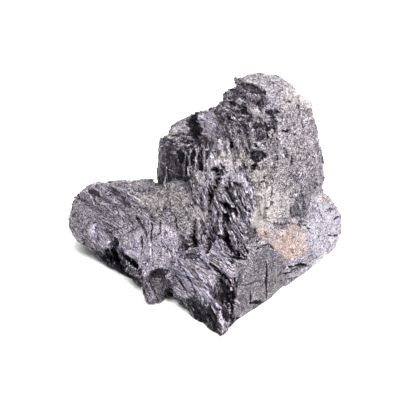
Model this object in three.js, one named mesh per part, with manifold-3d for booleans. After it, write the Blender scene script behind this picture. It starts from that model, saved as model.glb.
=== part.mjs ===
// A loose hand specimen of massive galena, the lead ore, standing on its flattest side.
//
// Units are millimetres, +Z is up, +X is to the right and -Y is the front.
// The specimen is one piece of ore: a tower at the right rear, a stepped shoulder beside it, a long
// low arm to the left, a prow that comes to a point at the front, and a cleaved wing at the right.
// Its main masses are convex chunks. Each is split into parallel cleavage sheets that stand out by
// different amounts, and crevices are cut into them. All of it is joined into one closed solid.
import * as THREE from "three";
import { ConvexGeometry } from "three/addons/geometries/ConvexGeometry.js";
import { mergeVertices } from "three/addons/utils/BufferGeometryUtils.js";
import Module from "manifold-3d";

const wasm = await Module();
wasm.setup();

// ---------------------------------------------------------------- driving dimensions
const TOWER_TOP = 71; // height of the plateau that caps the tower
const SHOULDER_TOP = 54; // height of the shoulder's back edge
const BLOCK_TOP = 43; // height of the square block at the left of the shoulder
const LEDGE_TOP = 24; // height of the weathered ledge at the tower's foot
const ARM_TOP = 22; // height of the arm's back edge
const FLOOR = 0; // the face that the specimen rests on
const SHEET_TILT = 0.16; // most that a cleavage sheet slopes against its mass, as rise over run
const SHEET_TWIST = 0.03; // most that a sheet turns from its set's direction, in radians
const SEAM = 1; // overlap of neighbouring sheets
const UNEVEN = 0.35; // most that a parting moves from its even place, as a share of a sheet's width
const REACH = 300; // longer than the whole specimen
const FINEST = 0.05; // details smaller than this are dropped
const GRAIN_SEED = 21; // seed of the sheets' random heights

// ---------------------------------------------------------------- the main masses
// Each mass is the convex hull of its corners, [x, y, z].
const MASSES = {
  tower: [
    [17, -3, 20], [19, 3, 40], [24, 8, 59], [21, 12, 67],
    [41, 21, 16], [42, 22, 26], [43.2, 22, 31.5], [42.2, 22, 37], [39.2, 22, 49], [37.5, 22, 59.5],
    [32, 21, 65.5],
    [9.5, 19, 59], [7, 19, 52], [5, 12, 20],
    [13, 30, 63], [28, 31, 63], [36, 30, 56], [42, 32, 34], [9, 33, 46],
    [18, -2, FLOOR], [41, 18, FLOOR], [41, 35, FLOOR], [6, 34, FLOOR],
  ],
  towerCap: [
    [15.5, 15.6, TOWER_TOP], [21.6, 11.8, TOWER_TOP], [30.6, 14, TOWER_TOP - 2.5], [33, 19.5, TOWER_TOP - 2],
    [26, 24, TOWER_TOP + 0.5], [20.5, 25, TOWER_TOP + 1], [16, 23.5, TOWER_TOP + 0.5],
    [13.9, 20, TOWER_TOP - 0.5],
    [11, 25, 68],
    [12.4, 18, 64], [21, 12.5, 66], [24, 10, 60], [33, 17, 62], [31, 29, 64], [15, 28, 62],
  ],
  towerSteps: [
    [11, 18, 66.5], [13.5, 16, 67], [17, 15, 66], [12, 24, 67], [8.8, 24, 65], [7.2, 20, 62], [7, 25, 61],
    [6.2, 21, 57],
    [12, 14, 61], [18, 12, 62], [16, 28, 64], [10, 14, 50], [9, 28, 50],
  ],
  towerBack: [
    [20, 30, 52], [34, 31, 46], [14, 34, 40], [30, 36.5, 34], [20, 37, 30], [38, 35, 26],
    [12, 37, 12], [38, 37.5, 10], [14, 36, FLOOR], [36, 36, FLOOR], [20, 20, 20], [34, 20, 20],
  ],
  shoulder: [
    [-5.4, 30, SHOULDER_TOP - 3], [-2.2, 25.5, SHOULDER_TOP - 1], [2, 28, SHOULDER_TOP - 1],
    [10, 28, SHOULDER_TOP],
    [12, 18, 50], [2.5, 18.5, 46], [-2.5, 20, 45], [-2, 14, 30], [10, 8, 34],
    [-5, 33, 44], [12, 34, 46], [-4, 35, 20], [-4, 32, FLOOR], [12, 33, FLOOR], [-4, 10, FLOOR],
    [12, 6, FLOOR],
  ],
  upperStep: [
    [-11.5, 25, 47.5], [-9.5, 29, 47.5], [-5, 30, 49.5], [-4, 24, 47.5],
    [-13, 23, 42], [-2, 21, 42], [-12, 32, 43], [-2, 33, 45],
    [-13, 31, FLOOR], [-2, 31, FLOOR], [-12, 20, FLOOR], [-2, 20, FLOOR],
  ],
  leftBlock: [
    [-16, 23, BLOCK_TOP - 1], [-15.7, 19.5, BLOCK_TOP - 2], [-8, 17.5, BLOCK_TOP], [-1.8, 15, BLOCK_TOP - 1],
    [-15.5, 26, BLOCK_TOP], [-2, 28, BLOCK_TOP], [-16, 28, BLOCK_TOP - 5],
    [-16.4, 18.5, 26], [-8, 15.5, 27], [-1, 12, 28],
    [-17, 33, 14], [-18, 30, FLOOR], [-1, 32, FLOOR], [-18, 14, FLOOR], [-1, 8, FLOOR],
  ],
  arm: [
    [-16, 18, 26], [-19, 26, 23.5], [-30, 26.5, ARM_TOP + 0.5], [-41, 26.5, ARM_TOP - 0.3],
    [-43.5, 25, ARM_TOP - 2],
    [-45.8, 24, 17.5], [-48.5, 21, 15.5], [-49.5, 16, 11], [-47.6, 13, 8], [-41, 6, 13],
    [-34, 1.5, 15.5], [-24, 0, 21],
    [-14, 2, 25], [-12, 8, 28], [-46, 27, 8], [-38, 33, 10], [-20, 35, 13],
    [-38, 30, FLOOR], [-42, 18, FLOOR], [-34.2, 5.8, FLOOR], [-26.6, -1.8, FLOOR], [-12, 33, FLOOR],
  ],
  armRoot: [
    [-19, 20, 27], [-15, 17, 30], [-6, 15, 31], [-1, 12, 34.5], [1, 3, 33.5], [-3.5, -4, 28], [-6, -8, 23.5],
    [-17, 0, 25], [-21, 8, 24.5], [-16, 2, FLOOR], [-1, -4, FLOOR], [-16, 18, FLOOR], [0, 12, FLOOR],
  ],
  brightBulge: [
    [-16, 0.5, 25.5], [-30, -0.5, 18], [-26, -1.5, 20.5], [-22, -1, 22.5], [-10, -6.5, 22.5], [-6, 2, 27.5],
    [-32, -1, 13], [-29.5, -4.5, 9.5], [-25.5, -7.5, 8], [-21.5, -13, 5], [-16, -15, 6], [-10.5, -15, 10],
    [-25, -4.5, FLOOR], [-18, -11, FLOOR], [-8, -14, FLOOR], [-8, 4, FLOOR],
  ],
  lobe: [
    [-22, -11.5, 9.5], [-16, -14, 10.5], [-13, -14.5, 8], [-22.5, -15.5, 4.5], [-20, -19.3, 3.2],
    [-16, -19.3, 3],
    [-20.5, -18, 0.6], [-15, -17.5, 0.6], [-21, -12, FLOOR], [-13, -12, FLOOR], [-18, -16.5, FLOOR],
  ],
  // fills the space between the arm's root, the bulge, the prow and the flank
  saddle: [
    [-10, -8, 17], [-3, -11, 18], [8, -12, 20], [10, 2, 22], [-12, 4, 20],
    [-14, -9, FLOOR], [-4, -16, FLOOR], [10, -14, FLOOR], [12, 4, FLOOR], [-14, 6, FLOOR],
  ],
  flankLeft: [
    [-4, 14, 40], [1, 15, 43.5], [3, 11, 42], [-2.5, 3, 33], [2, 2, 36], [5.5, 0, 34.5],
    [1.5, -9, 25.5], [6, -11, 26.5], [9, -13, 24.5], [5, -15, 21.5], [10, -15.5, 21.5], [-1, -10, 22],
    [-4, 12, FLOOR], [5, 12, FLOOR], [8, -8, FLOOR], [-1, -6, FLOOR],
  ],
  flankRight: [
    [2.5, 14, 47], [8, 14, 51], [9, 9, 49], [5.5, 3, 39], [10, 3, 41.5], [12, 1, 38],
    [9, -8, 29.5], [13, -9, 30], [14.5, -11, 26], [11, -14, 23.5], [14, -14, 22.5],
    [4, 12, FLOOR], [14, 10, FLOOR], [14, -6, FLOOR], [8, -6, FLOOR],
  ],
  arrisFoot: [
    [14, 9, 50], [20, 6, 50], [18.5, 0, 33], [17.5, -5, 26], [13.5, -12, 25], [11, -6, 32], [10, 4, 44],
    [16, -10, FLOOR], [10, 8, FLOOR], [20, 8, FLOOR],
  ],
  prow: [
    [-10.8, -9.5, 17], [-1.8, -12, 22], [9, -18.5, 20.5], [12.6, -18, 20],
    [-12.6, -14.2, 6], [-10, -19.5, 7], [-1.6, -28, 9], [3.5, -33.5, 6.5], [12.6, -24.2, 11], [9.7, -31.8, 4],
    [6.8, -38, 1.2], [5.8, -37, FLOOR], [-9, -17, FLOOR], [-1.3, -25.5, FLOOR],
    [12, -27.3, FLOOR], [14, -12, FLOOR],
  ],
  rightSlab: [
    [12.5, -15, 22.5], [20.5, -11.4, LEDGE_TOP], [26.5, -9, 17.5], [29, -7.5, 12],
    [12.6, -24, 11], [12, -27.3, FLOOR], [20.8, -17.8, FLOOR], [28.8, -6.5, FLOOR],
    [28, 5, FLOOR], [14, 0, FLOOR],
    [18, 0, LEDGE_TOP], [27, 3, LEDGE_TOP - 1],
  ],
  ledge: [
    [17.5, -4, LEDGE_TOP + 1.5], [20.5, -11, LEDGE_TOP], [28.8, -4, LEDGE_TOP - 1.5],
    [34, 5.5, LEDGE_TOP - 3],
    [37.8, 3, 15], [36, -1, 9], [30, -8, 9], [38, 14, 20],
    [18, 6, 27], [36, 14, 22], [30, 2, FLOOR], [18, -4, FLOOR], [18, 14, FLOOR], [38, 14, FLOOR],
  ],
  towerFoot: [
    [25, 8.2, 43], [36, 17, 40], [38, 15, 24], [36.5, 9.5, 20.5], [29, 3, 25], [22, 0, 27], [22.5, 4, 40],
    [24, 12, 20], [38, 20, 22],
  ],
  rightWing: [
    [34, 6, 19.5], [41.4, 24, 18], [43.5, 28, 17.8], [45.7, 28, 15.6], [47.5, 26, 13.5], [50, 23, 11],
    [50, 20.5, 5], [47.6, 15.4, 2.6], [42.4, 7.4, 2.4], [34.6, -0.4, 2.6], [29, -7.6, 2.8],
    [28.5, -6.5, 9], [44, 33, 10], [48, 27, 5],
    [29.5, -5.5, FLOOR], [41, 9, FLOOR], [46.5, 17.5, FLOOR], [47, 26, FLOOR], [42, 34, FLOOR],
    [30, 10, FLOOR],
  ],
};

// ---------------------------------------------------------------- crevices and broken-out corners
const CREVICES = {
  // the long dark slot down the prow's left side
  prowSlot: [
    [2.5, -22, 20], [5.5, -20.5, 20], [11.3, -27, 12.5], [10.6, -32, 5], [8.2, -33, 4], [5.6, -27, 11],
    [7, -20, 13], [9, -26, 5], [5.5, -21, 13],
  ],
  // the hollow under the arm
  armHollow: [
    [-37, 2.5, 12.5], [-29, -1.5, 13.5], [-25, -4.5, 9], [-31, -1, 2.5], [-38, 5, 3.5],
    [-33, 8, 6], [-27, 4, 5],
  ],
  // the square hole between the arm and the bright bulge
  bulgeHole: [
    [-28, -5.5, 12], [-23, -9, 11], [-23.5, -9.5, 5.5], [-29, -5, 5], [-25, -1, 8],
  ],
  // hollows of the flank, left and right of its middle rib
  flankHollowLeft: [
    [0.5, 2, 38.5], [4.5, 1, 37.5], [3.5, -9, 29.5], [0, -8, 30], [1, 4, 30], [4, 3, 30],
  ],
  flankHollowRight: [
    [7.5, 2.5, 40], [10.5, 2, 39.5], [9.8, -5, 33], [7.5, -4.5, 33.5], [9, 4, 34],
  ],
  flankTrough: [
    [2, -9.5, 29], [6, -10.5, 28.5], [13, -14.5, 25.5], [11, -18, 22.3], [6, -13.5, 25.5],
    [5, -8, 22], [11, -12, 20],
  ],
  // the notch beside the shoulder's dark end face
  shoulderNotch: [
    [-6, 27.5, 55], [-3.4, 23.5, 55], [-7, 18, 55], [-12, 24.5, 55],
    [-4.5, 24.8, 46.5], [-8, 21, 46.5], [-9, 25, 46.8],
  ],
  // pocket in the tower's left face
  towerPocket: [
    [16, 2, 47], [20, 3.5, 47.5], [20.3, 3.5, 43], [17, 1, 42], [17, 8, 45],
  ],
  // slit along the bottom of the wing
  wingSlit: [
    [29, -7.5, 7.2], [37, 0.5, 8.4], [37, 1, 7.5], [29, -7, 5.9], [33, 1, 6.6],
  ],
  // the prow's left side, cut back above the floor
  undercutFront: [
    [-13, -24, -1], [-13, -24, 3.5], [-4, -31, 3.5], [4, -40, 2.5],
    [4, -40, -1], [4, -34.8, -1], [-3, -26, -1], [-11, -17, -1],
  ],
};

// ---------------------------------------------------------------- cleavage sheets
// Each set splits one mass into sheets that run "along" a direction and stand out by different amounts
// on the side "out". "sheets" is their number, "breaks" the pieces of each one along its length, and
// "proud" the most that a sheet stands out.
const SHEET_SETS = [
  { mass: "arm", along: [1, -1.15, 0.05], out: [-0.1, -0.25, 1], sheets: 9, breaks: 2, proud: 1.2 },
  { mass: "arm", along: [0.4, -1, -0.6], out: [-0.8, -0.5, 0.3], sheets: 4, breaks: 1, proud: 0.7 },
  { mass: "arm", along: [1, 0, 0.3], out: [0, 1, 0.3], sheets: 4, breaks: 1, proud: 1.6 },
  { mass: "armRoot", along: [1, -0.9, 0.1], out: [-0.3, -0.4, 1], sheets: 5, breaks: 2, proud: 1.8 },
  { mass: "brightBulge", along: [0.1, -0.4, -1], out: [0, -1, 0.3], sheets: 6, breaks: 2, proud: 1.6 },
  { mass: "lobe", along: [1, -0.2, -0.2], out: [0, -1, 0.5], sheets: 3, breaks: 1, proud: 0.6 },
  { mass: "leftBlock", along: [0, 0.1, -1], out: [-0.1, -1, 0], sheets: 8, breaks: 1, proud: 1.6 },
  { mass: "upperStep", along: [1, 0.1, 0], out: [-0.3, -0.2, 1], sheets: 3, breaks: 1, proud: 0.6 },
  { mass: "shoulder", along: [0.2, -0.3, -1], out: [-0.3, -1, 0.2], sheets: 6, breaks: 2, proud: 2 },
  { mass: "shoulder", along: [0, 0, 1], out: [0, 1, 0.1], sheets: 4, breaks: 1, proud: 1.6 },
  { mass: "flankLeft", along: [0.3, -0.9, -1], out: [-0.4, -0.8, 0.5], sheets: 5, breaks: 3, proud: 2.4 },
  { mass: "flankRight", along: [0.25, -0.9, -1], out: [-0.2, -0.9, 0.5], sheets: 5, breaks: 3, proud: 2.6 },
  { mass: "arrisFoot", along: [0.1, -0.9, -1], out: [0.2, -1, 0.5], sheets: 4, breaks: 2, proud: 1.6 },
  { mass: "prow", along: [0.8, -0.9, 0.1], out: [-0.35, -0.5, 0.9], sheets: 7, breaks: 1, proud: 1.2 },
  { mass: "prow", along: [0.2, -0.2, -1], out: [-0.9, -0.6, 0], sheets: 5, breaks: 1, proud: 0.6 },
  { mass: "rightSlab", along: [0, -0.2, -1], out: [0.7, -0.8, 0.2], sheets: 4, breaks: 1, proud: 0.6 },
  { mass: "ledge", along: [1, 0.3, -0.2], out: [0.3, -0.4, 1], sheets: 3, breaks: 2, proud: 0.8 },
  { mass: "rightWing", along: [0.2, -0.4, -0.6], out: [0.5, -0.5, 0.7], sheets: 4, breaks: 2, proud: 0.7 },
  { mass: "rightWing", along: [1, 1.2, 0.1], out: [0.8, -0.6, -0.3], sheets: 2, breaks: 2, proud: 0.5 },
  { mass: "tower", along: [0.1, -0.3, -1], out: [0.6, -0.8, 0.2], sheets: 7, breaks: 3, proud: 1.5 },
  { mass: "tower", along: [0.1, -0.1, -1], out: [-0.8, -0.6, 0.1], sheets: 4, breaks: 1, proud: 1.6 },
  { mass: "tower", along: [0.2, -0.3, -1], out: [-0.45, -0.9, 0.2], sheets: 4, breaks: 4, proud: 2.2 },
  { mass: "tower", along: [0, 0.1, -1], out: [1, 0.1, 0.1], sheets: 3, breaks: 1, proud: 0.4 },
  { mass: "towerSteps", along: [1, -0.3, 0], out: [-0.7, -0.7, 0.4], sheets: 4, breaks: 1, proud: 1.4 },
  { mass: "towerCap", along: [1, -0.4, 0], out: [0, -0.1, 1], sheets: 3, breaks: 1, proud: 0.6 },
  { mass: "towerCap", along: [0, 0.2, -1], out: [-0.3, -1, 0], sheets: 4, breaks: 1, proud: 0.8 },
  { mass: "towerBack", along: [0, 0, 1], out: [0, 1, 0.1], sheets: 5, breaks: 2, proud: 1.6 },
  { mass: "towerFoot", along: [0.1, -0.3, -1], out: [0.6, -0.8, 0.2], sheets: 3, breaks: 1, proud: 1 },
];

// ---------------------------------------------------------------- small tools
// A closed three.js geometry as a manifold solid.
function solidOf(geometry) {
  const bare = geometry.clone();
  bare.deleteAttribute("normal");
  bare.deleteAttribute("uv");
  const merged = mergeVertices(bare, 1e-4);
  return new wasm.Manifold(
    new wasm.Mesh({
      numProp: 3,
      vertProperties: merged.attributes.position.array,
      triVerts: new Uint32Array(merged.index.array),
    }),
  );
}

// A manifold solid as a three.js geometry.
function geometryOf(solid) {
  const mesh = solid.getMesh();
  return new THREE.BufferGeometry()
    .setAttribute("position", new THREE.BufferAttribute(mesh.vertProperties.slice(), 3))
    .setIndex(new THREE.BufferAttribute(mesh.triVerts.slice(), 1));
}

// The convex hull of a list of corners, [x, y, z] or Vector3, as a solid.
function hullOf(corners) {
  return solidOf(new ConvexGeometry(corners.map((corner) => new THREE.Vector3(...corner))));
}

function joinAll(solids) {
  return solids.reduce((joined, solid) => joined.add(solid));
}

// The outer skin of a solid alone: hollows sealed inside it are filled, and loose crumbs are dropped.
function outerSkin(solid) {
  return solid.decompose().reduce((best, shell) => (shell.volume() > best.volume() ? shell : best));
}

// A random number from low to high.
function between(low, high) {
  return low + (high - low) * THREE.MathUtils.seededRandom();
}

// ---------------------------------------------------------------- one set of sheets
// Places that part a span into about equal pieces, as [low, high] pairs.
function partedSpan(low, high, pieces) {
  const step = (high - low) / pieces;
  const marks = [low];
  for (let mark = 1; mark < pieces; mark++) {
    marks.push(low + step * (mark + between(-UNEVEN, UNEVEN)));
  }
  marks.push(high);
  return marks.slice(1).map((mark, index) => [marks[index], mark]);
}

function sheetsOf({ mass, along, out, sheets, breaks, proud }) {
  const corners = MASSES[mass].map((corner) => new THREE.Vector3(...corner));
  const outward = new THREE.Vector3(...out).normalize();
  const lengthwise = new THREE.Vector3(...along).projectOnPlane(outward).normalize();
  const across = new THREE.Vector3().crossVectors(lengthwise, outward);
  const basis = new THREE.Matrix4().makeBasis(across, lengthwise, outward);
  const local = corners.map((corner) => corner.clone().applyMatrix4(basis.clone().transpose()));
  const box = new THREE.Box3().setFromPoints(local);
  const pieces = [];
  for (const [left, right] of partedSpan(box.min.x, box.max.x, sheets)) {
    for (const [near, far] of partedSpan(box.min.y, box.max.y, breaks)) {
      const middle = new THREE.Vector3((left + right) / 2, (near + far) / 2, 0);
      const rise = between(0, proud);
      const tilt = between(-SHEET_TILT, SHEET_TILT);
      const lean = between(-SHEET_TILT, SHEET_TILT) / 2;
      const raised = local.map((corner) => {
        const lift = rise + tilt * (corner.x - middle.x) + lean * (corner.y - middle.y);
        return new THREE.Vector3(corner.x, corner.y, corner.z + lift).applyMatrix4(basis);
      });
      const cutter = new THREE.BoxGeometry(right - left + SEAM, far - near + SEAM, REACH)
        .rotateZ(between(-SHEET_TWIST, SHEET_TWIST))
        .translate(middle.x, middle.y, 0)
        .applyMatrix4(basis);
      pieces.push(hullOf(raised).intersect(solidOf(cutter)));
    }
  }
  return pieces;
}

// ---------------------------------------------------------------- assembly
const masses = joinAll(Object.values(MASSES).map(hullOf));
THREE.MathUtils.seededRandom(GRAIN_SEED);
const sheets = SHEET_SETS.flatMap(sheetsOf);
const crevices = Object.values(CREVICES).map(hullOf);

// Nothing reaches below the face that the specimen rests on.
const below = solidOf(new THREE.BoxGeometry(REACH, REACH, REACH).translate(0, 0, FLOOR - REACH / 2));
const hollowed = joinAll([masses, ...sheets]).subtract(joinAll([...crevices, below]));
const ore = outerSkin(hollowed.simplify(FINEST));

const geometry = geometryOf(ore);
geometry.computeBoundingBox();
const middle = geometry.boundingBox.getCenter(new THREE.Vector3());
const galena = new THREE.Mesh(
  geometry,
  new THREE.MeshStandardMaterial({ color: 0x6f6c74, roughness: 0.45, metalness: 0.6, flatShading: true }),
);
galena.name = "galena_mass";
galena.position.set(-middle.x, -middle.y, 0);

const specimen = new THREE.Group();
specimen.add(galena);

export default specimen;
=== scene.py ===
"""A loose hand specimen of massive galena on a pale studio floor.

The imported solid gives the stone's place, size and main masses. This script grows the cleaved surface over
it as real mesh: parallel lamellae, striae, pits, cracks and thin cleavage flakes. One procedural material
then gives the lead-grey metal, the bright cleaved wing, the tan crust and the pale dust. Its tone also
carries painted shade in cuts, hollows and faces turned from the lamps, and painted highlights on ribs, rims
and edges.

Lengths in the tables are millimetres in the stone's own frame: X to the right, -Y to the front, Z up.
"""

import math
from typing import NamedTuple

import bmesh
import bpy
import numpy as np
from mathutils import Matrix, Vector


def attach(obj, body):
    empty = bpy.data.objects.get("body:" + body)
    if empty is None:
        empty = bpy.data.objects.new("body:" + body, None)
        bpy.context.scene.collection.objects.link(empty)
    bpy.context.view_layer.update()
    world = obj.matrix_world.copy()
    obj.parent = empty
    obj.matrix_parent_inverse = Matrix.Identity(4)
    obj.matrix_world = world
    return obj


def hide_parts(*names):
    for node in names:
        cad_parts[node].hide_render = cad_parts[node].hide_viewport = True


MM = 0.001

# ---------------------------------------- fineness
VOXEL = 0.31  # mesh size of the grown skin
MOST_TRIANGLES = 190_000  # of the skin, after its flat parts are thinned out
BACK_KEPT = 0.15  # share of its triangles that the hidden side keeps in the first thinning
FLAKES = 11_500  # thin cleavage flakes on the skin
SEED = 5

# ---------------------------------------- relief of the skin
RIM = 0.24  # half the width of a raised plate edge
STEP_SIZES = [(2.4, 0.8), (1.0, 0.7)]  # cleavage steps in widths of a lamella, and how sharp they are
LAMELLA_LAYERS = [(2.8, 1.0), (1.0, 0.55), (0.45, 0.22)]  # sizes and shares, coarse to fine
CUT_DEPTH, RIB_HEIGHT = 1.05, 1.0  # of the marks, as a share of what their table says
FACET_BLUR = 7  # rounds of blurring that take the edges off the solid's facets
LUMP_HEIGHT = 0.65  # of all lumps together
BLOCK_LENGTH, BLOCK_WIDTH = 0.8, 2.6  # of broken blocks, in lengths and widths of a lamella
SMALL_BLOCK = 0.36  # size of a small block against a large one
GRAIN_SIZE, GRAIN_HEIGHT = 0.95, 0.26  # of the rough grains
SWELL_SIZE, SWELL_HEIGHT = 8, 0.75  # of the broad swells
CREVICE_DEPTH = 2.2
CREVICE_SPACING = (11, 3.2, 3.2)  # along, across and out of the grain
CREVICE_WANDER = (4, 1.3, 1.3)  # size of their bends in the same directions
FOOT_HEIGHT = 1.2  # below this the relief fades out, so that the resting face stays flat
FACING_PULL = 0.45  # how much a surface's direction counts for the zone that it belongs to
BORDER_SHAKE = 1.9  # how far the borders of zones wander
SIGHT_CELL, HIDDEN_DEPTH = 0.8, 3  # what lies this far behind the front surface counts as hidden
LEAST_SEEN = 0.3  # share in view below which the skin may be thinned out more

# ---------------------------------------- sizes of the flakes, least and most
SLIVER_WIDTH, PLATE_WIDTH = (0.2, 0.42), (0.5, 1.3)
SHORTEST_SLIVER, LONGEST_SLIVER = 1.2, 6.5
PLATE_LENGTH = (0.9, 2.2)  # in widths of the plate
FLAKE_THICK = (0.5, 0.9)
FLAKE_PROUD = (0.03, 0.26)  # how far they stand off the skin
FLAKE_FLOOR = 0.02  # their lowest height over the floor
FLAKE_LEAN = 0.45  # how far they lean away from the skin's direction, towards their zone's
FLAKE_TILT, FLAKE_TURN = 0.07, 0.10  # spread of their directions
LEAST_PLATES = 0.15  # share of plates among slivers where the stone isn't broken
FLAKE_COVER = 0.8  # share of the skin's crust, dust and silver that they carry

# ---------------------------------------- zones of the surface
class Zone(NamedTuple):
    """A zone of the surface with a crystal direction of its own. Shares run from 0 to 1."""

    centre: tuple
    reach: float  # how far it spreads before a neighbour takes over
    along: tuple  # direction down its lamellae
    out: tuple  # direction off the surface
    width: float  # of a lamella
    length: float  # of a lamella
    relief: float  # height of the lamellae
    tone: float  # brightness from 0 to 1, partly the stone's own and partly painted light and shade for how the zone faces the lamps
    contrast: float  # how much its lamellae differ
    rough: float  # share of grainy relief
    broken: float = 0.2  # share of broken blocks in place of lamellae
    crevice: float = 0  # share of long crevices
    grainy: float = 0.5  # share of short grain in place of long striae
    tan: float = 0  # share of brown crust
    dust: float = 0.15  # share of cream film
    silver: float = 0  # share of clean cleavage


# The zones' tones hold painted shade and light as well as the stone's own brightness. Faces turned away from
# the lamps, such as the notch, the block's front, the arm's underside, the prow's edge and side and the gap
# by the bulge, are painted darker. Faces turned towards them are painted lighter.
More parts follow.
